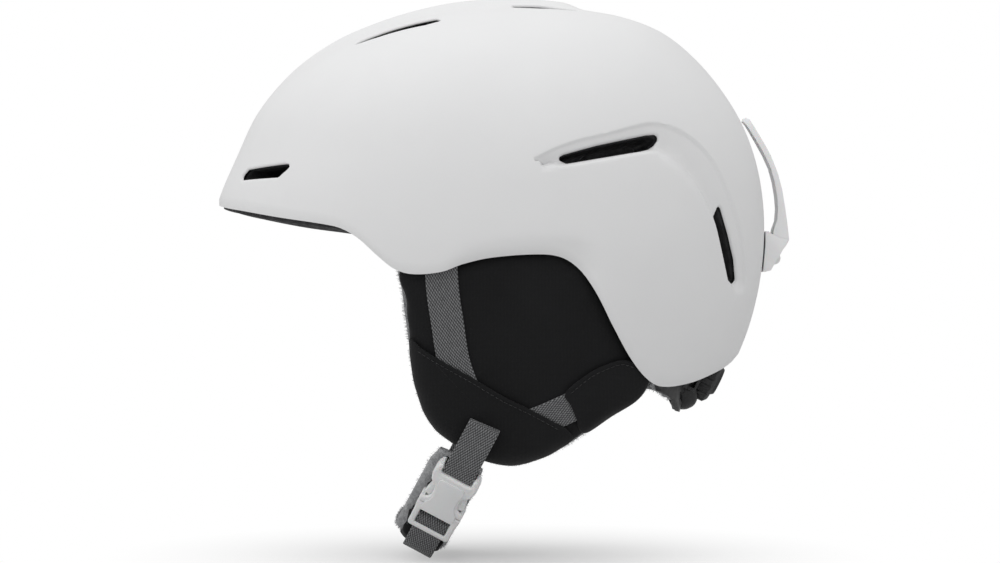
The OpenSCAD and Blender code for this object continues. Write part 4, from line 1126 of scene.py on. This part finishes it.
def build_ear_pads(rng):
    """On each side: the puffed pad, its fleece lining with loose fibres, two sleeves and their stitching."""
    loop = inset(EAR_OUTLINE, EAR_INSET)
    thickness = EAR_THICKNESS - 2 * EAR_SWELL
    solid = laid_pad(loop, on_side, EAR_DEPTH + EAR_SWELL, thickness, edge=0.55, fullness=10)
    swelled = puffed(*solid, voxel=3.6, pressure=4, cap=1.0)
    lining = laid_pad(loop, on_side, LINING_DEPTH, LINING_THICKNESS, rings=20, per_span=6, edge=0.45)
    lining = (lining[0], oriented(*lining))
    pile = ear_lining_fibres(*lining, rng)
    sleeves = {
        "front": laid_panel(FRONT_SLEEVE[::-1], on_side, (0, -107), 2.3, SLEEVE_THICKNESS),
        "rear": laid_panel(REAR_SLEEVE, on_side, (58, -92), 2.5, SLEEVE_THICKNESS),
    }
    front_edge, rear_edge = inset(FRONT_SLEEVE, SEAM_INSET), inset(REAR_SLEEVE, SEAM_INSET)
    seams = {"front": front_edge[1:9], "rear": np.vstack([rear_edge[9:13], rear_edge[:1]])}
    for side, word in SIDES:
        pad = make_object(f"ear_pad_{word}", *for_side(side, *swelled), "helmet", "softshell_black")
        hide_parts(f"ear_pad_foam_{word}")
        fleece = make_object(f"ear_lining_{word}", *for_side(side, *lining), "helmet", "fleece_grey")
        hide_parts(f"ear_pad_lining_{word}")
        for part, fuzz in pile.items():
            name = f"ear_fleece_fibres_{part}_{word}"
            make_object(name, *for_side(side, *fuzz), "helmet", "fleece_grey")
        for part, (points, faces) in sleeves.items():
            shape = for_side(side, points, oriented(points, faces))
            sleeve = make_object(f"ear_sleeve_{part}_{word}", *shape, "helmet", "softshell_black")
            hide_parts(f"ear_pad_{part}_sleeve_{word}")
            line = resampled(seams[part], 1.0)[:, :2]
            thread = stitch_row(on_side(line, STITCH_DEPTH), side_normal(line), radius=THREAD_RADIUS)
            name = f"ear_sleeve_stitches_{part}_{word}"
            make_object(name, *for_side(side, *thread), "helmet", "softshell_black", look="thread")
        for part, web in (("front", FRONT_WEB), ("rear", REAR_WEB)):
            points, faces, uv = web_on_side(web)
            shape = for_side(side, points, oriented(points, faces))
            strap = make_object(f"ear_webbing_{part}_{word}", *shape, "helmet", "webbing_grey", uv)
            sharpen(strap, 60)
            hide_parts(f"{part}_webbing_{word}")


# ---- Chin strap ----------------------------------------------------------------------

LOOP_DOWN = np.array([0, -math.sin(math.radians(STRAP_TILT)), -math.cos(math.radians(STRAP_TILT))])
LOOP_WIDE = np.array([0, math.cos(math.radians(STRAP_TILT)), -math.sin(math.radians(STRAP_TILT))])
LOOP_SIDE = np.array([1.0, 0, 0])
LOOP_ORIGIN = np.array([0, -2.5, -109.8])
UPPER_LEAN, BUCKLE_LEAN = 17.0, 38.0
UPPER_RUN, UPPER_BEND, BUCKLE_RUN, LOWER_BEND = 20.0, 14.0, 44.5, 30.0
BAR_Y, BAR_R, LOCK_Y, LOCK_R = 3.0, 1.2, 38.0, 1.3
BAR_WRAP = BAR_R + 0.1 + WEB_THICKNESS / 2
LOCK_WRAP = LOCK_R + 0.1 + WEB_THICKNESS / 2
WEB_GAP = 0.8  # from the loop's middle line to either layer of the doubled webbing


def lean(a):
    r = math.radians(a)
    return np.array([-math.sin(r), math.cos(r)]), np.array([math.cos(r), math.sin(r)])


EXIT_X = on_side(LOOP_ORIGIN[None, 1:], 0)[0, 0] + 1.9
UPPER_DIR, UPPER_OUT = lean(UPPER_LEAN)
BUCKLE_DIR, BUCKLE_OUT = lean(BUCKLE_LEAN)
BEND_START = np.array([EXIT_X, 1]) + UPPER_RUN * UPPER_DIR
BUCKLE_TOP = BEND_START + UPPER_BEND * (BUCKLE_OUT - UPPER_OUT)
BUCKLE_END = BUCKLE_TOP + BUCKLE_RUN * BUCKLE_DIR
LOOP_BOTTOM = BUCKLE_END + LOWER_BEND * (np.array([0, 1]) - BUCKLE_OUT)


def arc(c, r, start, end, n):
    a = np.radians(np.linspace(start, end, n + 1))
    return [c + r * np.array([math.cos(v), math.sin(v)]) for v in a]


def upper_line(off, n=8):
    return [np.array([EXIT_X, 1]) + k / n * UPPER_RUN * UPPER_DIR + off * UPPER_OUT for k in range(n)]


def upper_arc(off, n=6):
    return arc(BEND_START - UPPER_BEND * UPPER_OUT, UPPER_BEND + off, UPPER_LEAN, BUCKLE_LEAN, n)


def lower_arc(off, n=18):
    return arc(BUCKLE_END - LOWER_BEND * BUCKLE_OUT, LOWER_BEND + off, BUCKLE_LEAN, 90, n)


def in_loop(x, y):
    """A point of the buckle's frame, x out of the loop and y down the buckle, in the loop's plane."""
    return BUCKLE_TOP + y * BUCKLE_DIR + x * BUCKLE_OUT


def across_head(points):
    return [np.array([-p[0], p[1]]) for p in points]


def loop_to_row(flat, wide=0.0):
    flat = np.asarray(flat, float)
    wide = np.broadcast_to(wide, flat.shape[:-1])
    return LOOP_ORIGIN + flat[..., :1] * LOOP_SIDE + flat[..., 1:2] * LOOP_DOWN + wide[..., None] * LOOP_WIDE


def buckle_to_row(local):
    """Row points of buckle points (x out, y down, z across)."""
    local = np.asarray(local, float)
    flat = BUCKLE_TOP + local[..., 1:2] * BUCKLE_DIR + local[..., :1] * BUCKLE_OUT
    return loop_to_row(flat, local[..., 2])


def loop_web(path, spacing=1.0):
    fine = resampled(path, spacing)
    middle = loop_to_row(fine)
    across = np.broadcast_to(LOOP_WIDE, middle.shape)
    out = unit(np.cross(across, np.gradient(middle, axis=0)))
    return web_strip(middle, across, out)


def web_start():
    """The webbing's way out from under the ear pad's sleeve."""
    return [np.array([EXIT_X - inwards, down]) for inwards, down in ((8.4, -6), (6.6, -2.6), (3.6, -0.2))]


def round_end(y, r, start, end):
    """In the buckle's frame, points round a bar at y."""
    step = math.copysign(22.5, end - start)
    turns = np.radians(np.arange(start, end + step / 2, step))
    return [in_loop(r * math.cos(a), y + r * math.sin(a)) for a in turns]


def left_web_path():
    """From inside the ear pad out to the buckle's bar, round it and back up on the outside."""
    inner = web_start() + upper_line(-WEB_GAP)[1:] + upper_arc(-WEB_GAP)
    outer = upper_arc(WEB_GAP)[::-1] + upper_line(WEB_GAP)[::-1] + [np.array([EXIT_X - 2.2, -0.2])]
    towards = [in_loop(-BAR_WRAP * 0.8, 1), in_loop(-BAR_WRAP, 2)]
    back = [in_loop(BAR_WRAP, 2), in_loop(BAR_WRAP * 0.8, 1)]
    return inner + towards + round_end(BAR_Y, BAR_WRAP, 180, 0) + back + outer


def right_web_path():
    """From the right ear pad down the side, under the chin, round the plug's bar and out as the free tail."""
    side = web_start() + upper_line(0)[1:] + upper_arc(0) + [in_loop(0, 12), in_loop(0, 24)]
    under = [lower_arc(-LOCK_WRAP * i / 18)[i] for i in range(19)]
    lock = [in_loop(-LOCK_WRAP, y) for y in (BUCKLE_RUN, 41.5)] + round_end(LOCK_Y, LOCK_WRAP, 180, 360)
    tail = ((0, 42), (0, 45), (0.4, 52), (-0.2, 57), (-2.4, 61.5))
    return (across_head(side + under) + lower_arc(-LOCK_WRAP)[:0:-1] + lock
            + [in_loop(LOCK_WRAP + lift, y) for lift, y in tail])


# The chin pad's sections: front and rear across the strap, near and far out of the head's side
COVER_FRONT, COVER_REAR, COVER_NEAR, COVER_FAR = -12.2, 11.2, -8.0, -4.8
FLEECE_FRONT, FLEECE_REAR, FLEECE_NEAR, FLEECE_FAR = -16.2, 11.4, -11.2, -6.9
END_DRAWN_IN = 1.8
SLEEVE_FROM = 15  # the station where the cover starts to close round the webbing
SLEEVE_RISE, FLEECE_RISE = 5.6, 4.6
CHIN_FIBRES = 6500


def pad_section(flat, out, front, rear, near, far, squareness, count=28):
    """A rounded section of the chin pad, from front to rear across it and from near to far along out."""
    mid, half = (near + far) / 2, (far - near) / 2
    centre, half_width = (front + rear) / 2, (rear - front) / 2
    ring = []
    for a in np.arange(count) * 2 * math.pi / count:
        c, s = math.cos(a), math.sin(a)
        ring.append(loop_to_row(flat + out * (mid + half * math.copysign(abs(s) ** squareness, s)),
                                centre + half_width * math.copysign(abs(c) ** squareness, c)))
    return np.array(ring)


def chin_line():
    """Stations down the chin pad: the loop's centreline and its outward direction."""
    stations = [(in_loop(0, y), BUCKLE_OUT) for y in np.linspace(0.5, BUCKLE_RUN, 12)]
    for a in np.radians(np.linspace(BUCKLE_LEAN, 90, 15))[1:]:
        out = np.array([math.cos(a), math.sin(a)])
        stations.append((BUCKLE_END - LOWER_BEND * BUCKLE_OUT + LOWER_BEND * out, out))
    for x in np.linspace(LOOP_BOTTOM[0], -30, 16)[1:]:
        stations.append((np.array([x, LOOP_BOTTOM[1]]), np.array([0.0, 1.0])))
    return stations


def chin_sections():
    """Cross-sections of the chin pad's cover, which becomes a sleeve round the webbing, and of its fleece."""
    stations = chin_line()
    cover, fleece = [], []
    for i, (flat, out) in enumerate(stations):
        ends = smooth(min(i, len(stations) - 1 - i) / 2.5)
        drawn_in = END_DRAWN_IN * (1 - ends)
        cased = smooth((i - SLEEVE_FROM) / 3)
        front = COVER_FRONT - 1.8 * smooth((i - 7) / 6) + 1.5 * cased + drawn_in
        rear = COVER_REAR - 0.8 * cased - drawn_in
        far = COVER_FAR - 0.9 * (1 - ends) + SLEEVE_RISE * cased
        cover.append(pad_section(flat, out, front, rear, COVER_NEAR, far, 0.5 + 0.14 * cased))
        front, rear = FLEECE_FRONT + drawn_in, FLEECE_REAR - drawn_in
        near = FLEECE_NEAR + 1.2 * (1 - ends)
        far = FLEECE_FAR + FLEECE_RISE * smooth((i - SLEEVE_FROM + 1) / 4)
        fleece.append(pad_section(flat, out, front, rear, near, far, 0.62))
    return cover, fleece


def build_chin_strap(rng):
    for word, path, body in (
        ("left", left_web_path(), "strap_left"),
        ("right", right_web_path(), "chin_strap"),
    ):
        points, faces, uv = loop_web(path)
        uv[:, 0] *= -1
        name = f"chin_strap_webbing_{word}"
        strap = make_object(name, points, oriented(points, faces), body, "webbing_grey", uv)
        sharpen(strap, 60)
        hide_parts(f"chin_webbing_{word}")
    cover, fleece = (swept(sections) for sections in chin_sections())
    shell = puffed(cover[0], oriented(*cover), voxel=2.4, pressure=3, cap=0.35)
    pad = make_object("chin_pad", *shell, "chin_strap", "softshell_black")
    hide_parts("chin_pad_cover")
    pile = (fleece[0], oriented(*fleece))
    lining = make_object("chin_fleece", *pile, "chin_strap", "fleece_grey")
    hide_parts("chin_pad_fleece")
    place, normal = scattered(*pile, CHIN_FIBRES, rng)
    fuzz = fibres(place, normal, 1.6, 0.16, rng, 1.0)
    make_object("chin_fleece_fibres", *fuzz, "chin_strap", "fleece_grey")


# ---- Buckle --------------------------------------------------------------------------


def rounded_corners(outline, radius, steps=5):
    """An outline with each corner turned into an arc-like curve."""
    p = np.array(outline, float)
    points = []
    for a, b, c in zip(np.roll(p, 1, 0), p, np.roll(p, -1, 0)):
        r = min(radius, 0.45 * np.linalg.norm(b - a), 0.45 * np.linalg.norm(c - b))
        start, end = b + unit(a - b) * r, b + unit(c - b) * r
        for t in np.linspace(0, 1, steps + 1):
            points.append((1 - t) ** 2 * start + 2 * t * (1 - t) * b + t * t * end)
    return np.array(points)


def plate(outlines, half_thickness, bevel, lift=0.0):
    """A flat plate with rounded edges over closed (z, y) outlines, later ones being holes."""
    curve_data = bpy.data.curves.new("making", "CURVE")
    curve_data.dimensions = "2D"
    curve_data.fill_mode = "BOTH"
    curve_data.extrude = half_thickness - bevel
    curve_data.bevel_depth = bevel
    curve_data.bevel_resolution = 3
    curve_data.offset = -bevel
    for outline in outlines:
        spline = curve_data.splines.new("POLY")
        spline.points.add(len(outline) - 1)
        for point, (u, v) in zip(spline.points, outline):
            point.co = (u, v, 0, 1)
        spline.use_cyclic_u = True
    obj = linked("making", curve_data)
    mesh = evaluated_mesh(obj)
    bpy.data.objects.remove(obj)
    points, faces = mesh_arrays(mesh)
    points = points * MM
    local = np.stack([points[:, 2] + lift, points[:, 1], points[:, 0]], -1)
    return local, faces


BAR_HALF = WEB_WIDTH / 2 + 0.8


def joined(*parts):
    points, faces, start = [], [], 0
    for p, f in parts:
        points.append(np.asarray(p))
        faces += [tuple(int(i) + start for i in g) for g in f]
        start += len(p)
    return np.vstack(points), faces


def both_ways(outline):
    """A symmetric outline from its half at z >= 0, listed from top to bottom."""
    half = [tuple(p) for p in outline]
    return half + [(-z, y) for z, y in half[::-1]]


def block(x, y, z):
    """A box between ranges, as points and faces."""
    points = np.array([(a, b, c) for a in x for b in y for c in z], float)
    return points, [(0, 1, 3, 2), (4, 6, 7, 5), (0, 4, 5, 1), (2, 3, 7, 6), (0, 2, 6, 4), (1, 5, 7, 3)]


def cut_with(solid, *cutters):
    """The solid with other solids taken out of it."""
    obj = bare_object(solid[0], oriented(*solid))
    tools = [bare_object(p, oriented(p, f)) for p, f in cutters]
    for tool in tools:
        cut = obj.modifiers.new("cut", "BOOLEAN")
        cut.object = tool
        cut.operation = "DIFFERENCE"
        cut.solver = "EXACT"
    result = mesh_arrays(evaluated_mesh(obj))
    for each in [obj, *tools]:
        bpy.data.objects.remove(each)
    return result


def round_bar(y, r, half_length, count=20):
    """A bar across the buckle, with softened ends."""
    turns = np.arange(count) * 2 * math.pi / count
    body_half = half_length - 0.3
    sections = [
        np.array([(r * share * math.cos(a), y + r * share * math.sin(a), z) for a in turns])
        for z, share in ((-half_length, 0.8), (-body_half, 1), (body_half, 1), (half_length, 0.8))
    ]
    return swept(sections)


def build_socket():
    outline = both_ways([
        (8.4, 4.6), (8.4, 0.4), (9.2, -1.0), (10.6, 0.0), (11.9, 3.0), (12.0, 7.0), (11.0, 11.0),
        (9.6, 12.6), (8.0, 13.6), (7.3, 16.0), (7.3, 20.6), (8.6, 22.6), (11.4, 23.4), (12.0, 24.6),
        (11.8, 27.0),
    ])
    socket = plate([rounded_corners(outline, 1.6)], 4.0, 1.25)
    socket = cut_with(socket, block((-2.5, 2.5), (9.2, 30), (-9.9, 9.9)))
    face = plate([rounded_corners(both_ways([
        (6.6, 7.4), (7.0, 11.4), (6.3, 14.4), (6.1, 20.6), (7.4, 24.2), (9.0, 26.4), (8.8, 31.2),
    ]), 1.6)], 0.35, 0.3, lift=4.26)
    solid = joined(socket, face, round_bar(BAR_Y, BAR_R, BAR_HALF))
    make_moulding("buckle_socket_body", solid, "strap_left", "buckle_socket")


def build_plug():
    outline = both_ways([(11.8, 27.3), (12.0, 29.0), (11.6, 33.0), (11.5, 38.0), (11.4, 44.6)])
    window = rounded_corners([(-8.4, 32.4), (8.4, 32.4), (8.4, 41.5), (-8.4, 41.5)], 0.7)
    plug = plate([rounded_corners(outline, 1.9), window[::-1]], 3.9, 1.1)
    plug = cut_with(plug, *(block(x, (40, 47), (-8.4, 8.4)) for x in ((1.3, 2.95), (-5, -1.3))))
    tongue = plate([rounded_corners([(-2.5, 12.2), (2.5, 12.2), (2.5, 29), (-2.5, 29)], 1.2)], 2.1, 0.5)
    solid = joined(plug, tongue, round_bar(LOCK_Y, LOCK_R, BAR_HALF))
    make_moulding("buckle_plug_body", solid, "chin_strap", "buckle_plug")


def thumb_rib(sign, a, y):
    corners = [(a, y - 0.35), (a + 1.5, y - 0.35), (a + 1.5, y + 0.35), (a, y + 0.35)]
    return plate([rounded_corners([(sign * z, v) for z, v in corners], 0.2)], 2.35, 0.2)


def build_latch(sign, word):
    """A sprung arm with a ribbed thumb piece."""
    arm = [(6.3, 30.8), (6.5, 22), (6.7, 14.0), (7.8, 12.9), (9.2, 14.4), (10.2, 17.6), (10.9, 21.0),
           (9.8, 21.9), (8.4, 22.6), (8.3, 30.8)]
    thumb = plate([rounded_corners([(sign * z, y) for z, y in arm[::sign]], 0.7)], 2.2, 0.5)
    ribs = [thumb_rib(sign, a, y) for a, y in ((8.2, 15.6), (8.6, 17.4), (8.9, 19.2))]
    make_moulding(f"buckle_latch_{word}_body", joined(thumb, *ribs), f"latch_{word}", f"buckle_latch_{word}")


def build_buckle():
    """The side-release buckle: a socket with horns beside the webbing, and a plug with a ladder window."""
    build_socket()
    build_plug()
    build_latch(-1, "front")
    build_latch(1, "rear")


def make_moulding(name, solid, body, node):
    points, faces = solid
    obj = make_object(name, buckle_to_row(points), faces, body, "buckle_white")
    bm = bmesh.new()
    bm.from_mesh(obj.data)
    bmesh.ops.remove_doubles(bm, verts=bm.verts[:], dist=2e-6)
    bmesh.ops.recalc_face_normals(bm, faces=bm.faces[:])
    bm.to_mesh(obj.data)
    bm.free()
    obj.data.shade_smooth()
    sharpen(obj, 35)
    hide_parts(node)


# ---- Comfort pads and nape pads ------------------------------------------------------

PAD_LIFT = 2.2
PAD_THICKNESS = 7.0
PAD_SWELL = 0.8  # what the cloth adds to a pad's thickness
BROW_PAD = [
    (-56, 80), (-44, 76.5), (-20, 75), (0, 75.5), (20, 75), (44, 76.5), (56, 80),
    (57, 86.5), (48, 90), (22, 87.5), (0, 86.5), (-22, 87.5), (-48, 90), (-57, 86.5),
]
SIDE_PAD = [(66, 60), (90, 58), (113, 60), (117, 66), (112, 74), (90, 78), (68, 75), (62, 68)]
CROWN_PAD = [
    (0, -46), (15, -43), (19, -32), (16, -10), (30, 6), (37, 20), (31, 33), (14, 42), (8, 60), (0, 66),
    (-8, 60), (-14, 42), (-31, 33), (-37, 20), (-30, 6), (-16, -10), (-19, -32), (-15, -43),
]


def build_comfort_pads():
    """The pads inside the liner, each puffed like a sewn cushion."""
    pads = {
        "brow_pad": (BROW_PAD[::-1], on_foam),
        "crown_pad": (CROWN_PAD, on_top),
        "side_pad_left": (SIDE_PAD[::-1], on_foam),
    }
    for name, (outline, lay) in pads.items():
        thickness = PAD_THICKNESS - PAD_SWELL
        solid = laid_pad(outline, lay, PAD_LIFT, thickness, rings=10, per_span=4, edge=0.4, fullness=4)
        solid = puffed(solid[0], oriented(*solid), voxel=3.0, pressure=4, cap=1.0)
        words = ("left", "right") if name.endswith("left") else ("",)
        for word in words:
            node = name.replace("left", word) if word else name
            shape = mirrored(*solid) if word == "right" else solid
            pad = make_object(f"{node}_cushion", *shape, "helmet", "comfort_fabric")
            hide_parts(node)


def softened_copy(node, width=0.4, segments=2):
    """A CAD node as a moulding with rounded edges."""
    mesh = frame["nodes"][node].data.copy()
    bm = bmesh.new()
    bm.from_mesh(mesh)
    bmesh.ops.remove_doubles(bm, verts=bm.verts[:], dist=1e-6)
    bmesh.ops.dissolve_limit(bm, angle_limit=math.radians(0.5), verts=bm.verts[:], edges=bm.edges[:])
    corner = math.radians(30)
    sharp = [e for e in bm.edges if len(e.link_faces) == 2 and e.calc_face_angle(0.0) > corner]
    bmesh.ops.bevel(bm, geom=sharp, offset=width * MM, offset_type="OFFSET", segments=segments, profile=0.5,
                    affect="EDGES", clamp_overlap=True)
    bm.to_mesh(mesh)
    bm.free()
    mesh.materials.clear()
    mesh.materials.append(looks[LOOK_OF_SLOT[SLOT_OF[node]]])
    mesh.shade_smooth()
    mesh.set_sharp_from_angle(angle=math.radians(40))
    obj = linked(f"{node}_moulding", mesh)
    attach(obj, BODY_OF[node])
    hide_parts(node)


# The dial's frame: down the nape, and out of the back
DIAL_ORIGIN = np.array([0, 105.9, -84.3])
DIAL_DOWN = np.array([0, -0.438, -0.899])
DIAL_OUT = np.array([0, 0.899, -0.438])
# The hub's profile: the share of the way down from the dial to its lower edge, and its height
HUB_PROFILE = [(0, 8.4), (0.4, 8.2), (0.78, 5.6), (1, 1.5), (0.95, -3), (0, -3)]
HUB_REACH, HUB_ENDS_IN, HUB_HALF, DIAL_CLEAR = 22.3, 7.5, 11.5, 13.7
NAPE_PRESSED = 0.4
NAPE_FIBRES = 3000


def build_nape_hub():
    """The cradle's thick lower lip, a crescent round the lower rim of the dial."""
    floor = min(height for _, height in HUB_PROFILE)
    sections = []
    for x in np.linspace(-HUB_HALF, HUB_HALF, 15):
        share = abs(x) / HUB_HALF
        near, far = math.sqrt(DIAL_CLEAR**2 - x * x), HUB_REACH - HUB_ENDS_IN * share**2
        rise = 1 - 0.35 * share**4
        profile = [(near + (far - near) * a, floor + (b - floor) * rise) for a, b in HUB_PROFILE]
        ring = rounded_corners(profile, 1.4)
        sections.append(DIAL_ORIGIN + x * LOOP_SIDE + ring[:, :1] * DIAL_DOWN + ring[:, 1:] * DIAL_OUT)
    points, faces = swept(sections)
    hub = make_object("nape_hub", points, oriented(points, faces), "nape_cradle", "black_plastic")
    sharpen(hub, 50)


def build_nape_pads(rng):
    """The two fleece pads, softened, pressed against the cradle and covered in loose fibres."""
    points, faces = mesh_arrays(frame["nodes"]["nape_pads"].data)
    plate_points, plate_faces = mesh_arrays(frame["nodes"]["nape_cradle"].data)
    cradle = BVHTree.FromPolygons(plate_points.tolist(), plate_faces)
    points = np.array([p + NAPE_PRESSED * (np.array(cradle.find_nearest(p)[0]) - p) for p in points])
    points, faces = puffed(points, faces, voxel=1.8, pressure=3, cap=0.5)
    pads = make_object("nape_fleece", points, faces, "nape_cradle", "fleece_grey")
    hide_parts("nape_pads")
    place, normal = scattered(points, faces, NAPE_FIBRES, rng)
    fuzz = fibres(place, normal, 1.5, 0.16, rng, 1.0)
    make_object("nape_fleece_fibres", *fuzz, "nape_cradle", "fleece_grey")


# ---- Stage ---------------------------------------------------------------------------

VIEW_DISTANCE = 1.5
VIEW_SPAN = 0.52
VIEW_MIDDLE = (0.0052, -0.0385)
SENSOR = 36.0
FLOOR_REACH = 14000.0
FLOOR_FADE = (0.0, 0.2)
FLOOR_GLOW, FLOOR_BOUNCE = 0.25, 0.7
SIDE_LIGHT, TOP_LIGHT, BACK_SHADE = 0.40, 0.95, 0.12
OVERHEAD_POWER, FRONT_POWER, FLANK_POWER = 6.0, 2.5, 3.0


def build_camera():
    """Level with the middle of the object's height, square to its left side."""
    data = bpy.data.cameras.new("camera")
    data.sensor_width = SENSOR
    data.lens = SENSOR * VIEW_DISTANCE / VIEW_SPAN
    camera = linked("camera", data)
    camera.location = (VIEW_DISTANCE, *VIEW_MIDDLE)
    camera.rotation_euler = (math.radians(90), 0, math.radians(90))
    bpy.context.scene.camera = camera


def area_light(name, place, size, power):
    """A soft white light aimed at the helmet."""
    data = bpy.data.lights.new(name, "AREA")
    data.shape = "RECTANGLE"
    data.size, data.size_y = size
    data.energy = power
    light = linked(name, data)
    light.location = place
    light.rotation_euler = (-Vector(place)).to_track_quat("-Z", "Y").to_euler()


def build_stage(lowest):
    """A pale floor that fades into an even white backdrop, an even sky, and big soft lights."""
    n = Nodes("floor")
    seen = n.add("ShaderNodeLightPath").outputs["Is Camera Ray"]
    mottle = n.span(n.noise(2.0, 3), 0.3, 0.7, 0.93, 0.95)
    tone = n.math("MULTIPLY", mottle, n.span(seen, 0, 1, FLOOR_BOUNCE, 1))
    n.finish(colour=n.ramp(tone, (0.0, (0, 0, 0)), (1.0, (1, 1, 1))), roughness=0.8, specular=0.1)
    away = n.add("ShaderNodeVectorMath", {0: n.coord}, operation="LENGTH").outputs["Value"]
    glow = n.add("ShaderNodeEmission", {"Color": (1, 1, 1, 1), "Strength": 1.0})
    share = n.math("MULTIPLY", n.span(away, *FLOOR_FADE, FLOOR_GLOW, 1.0), seen)
    fade = n.add("ShaderNodeMixShader", {0: share, 1: n.shader.outputs[0], 2: glow.outputs[0]})
    n.tree.links.new(fade.outputs[0], n.tree.nodes["Material Output"].inputs["Surface"])
    corners = [(x * FLOOR_REACH, y * FLOOR_REACH, 0) for x, y in ((-1, -1), (1, -1), (1, 1), (-1, 1))]
    mesh = raw_mesh("floor", corners, [(0, 1, 2, 3)])
    mesh.materials.append(n.material)
    floor = linked("floor", mesh)
    floor.location = (0, 0, lowest)

    world = bpy.data.worlds.new("studio")
    world.use_nodes = True
    tree = world.node_tree
    background = tree.nodes["Background"]
    background.inputs["Color"].default_value = (1, 1, 1, 1)
    across = tree.nodes.new("ShaderNodeVectorMath")
    across.operation = "DOT_PRODUCT"
    across.inputs[1].default_value = (0, -BACK_SHADE, 1)
    tree.links.new(tree.nodes.new("ShaderNodeTexCoord").outputs["Generated"], across.inputs[0])
    sky = tree.nodes.new("ShaderNodeMapRange")
    for key, value in {"From Min": -0.2, "From Max": 0.9, "To Min": SIDE_LIGHT, "To Max": TOP_LIGHT}.items():
        sky.inputs[key].default_value = value
    seen = tree.nodes.new("ShaderNodeLightPath")
    strength = tree.nodes.new("ShaderNodeMath")
    strength.operation = "MAXIMUM"
    tree.links.new(across.outputs["Value"], sky.inputs["Value"])
    tree.links.new(seen.outputs["Is Camera Ray"], strength.inputs[0])
    tree.links.new(sky.outputs["Result"], strength.inputs[1])
    tree.links.new(strength.outputs[0], background.inputs["Strength"])
    bpy.context.scene.world = world
    bpy.context.scene.view_settings.view_transform = "Standard"
    area_light("overhead", (0.2, -0.1, 1.5), (1.8, 1.8), OVERHEAD_POWER)
    area_light("front", (0.7, -1.5, 0.6), (1.0, 1.0), FRONT_POWER)
    area_light("flank", (1.8, 0.3, 0.7), (1.5, 1.2), FLANK_POWER)


# ---- Everything ----------------------------------------------------------------------

record = frame["record"]
BODY_OF = {node: body for body, nodes in record["behaviour"]["bodies"].items() for node in nodes}
SLOT_OF = {part["node"]: part["material_slot"] for part in record["subparts"]}
rng = np.random.default_rng(7)
looks = {
    "shell": shell_material(),
    "foam": foam_material(),
    "softshell": softshell_material(),
    "comfort": comfort_material(),
    "fleece": fleece_material(),
    "webbing": webbing_material(),
    "buckle": white_plastic_material("buckle_white", 0.76, 0.82, 0.36),
    "clip": white_plastic_material("clip_white", 0.80, 0.85, 0.40),
    "plastic": black_plastic_material(),
    "hook": hook_material(),
    "steel": steel_material(),
    "thread": thread_material(),
}
LOOK_OF_SLOT = {
    "shell_white": "shell", "foam_black": "foam", "comfort_fabric": "comfort", "hook_tape": "hook",
    "black_plastic": "plastic", "softshell_black": "softshell", "fleece_grey": "fleece",
    "webbing_grey": "webbing", "buckle_white": "buckle", "clip_white": "clip", "steel": "steel",
}
for node, obj in frame["nodes"].items():
    for material_slot in obj.material_slots:
        material_slot.material = looks[LOOK_OF_SLOT[SLOT_OF[node]]]

build_camera()
build_shell()
build_liner()
build_ear_pads(rng)
build_chin_strap(rng)
build_buckle()
build_comfort_pads()
build_nape_hub()
build_nape_pads(rng)
softened_copy("goggle_clip_arm", 0.8, 3)
softened_copy("goggle_clip_base", 0.4)
softened_copy("fit_dial", 0.35)
softened_copy("dial_housing", 0.3)
softened_copy("nape_cradle", 0.4)
softened_copy("height_slider", 0.3)
softened_copy("height_guide", 0.3)
build_stage(cad_box[0][2] - 0.002)
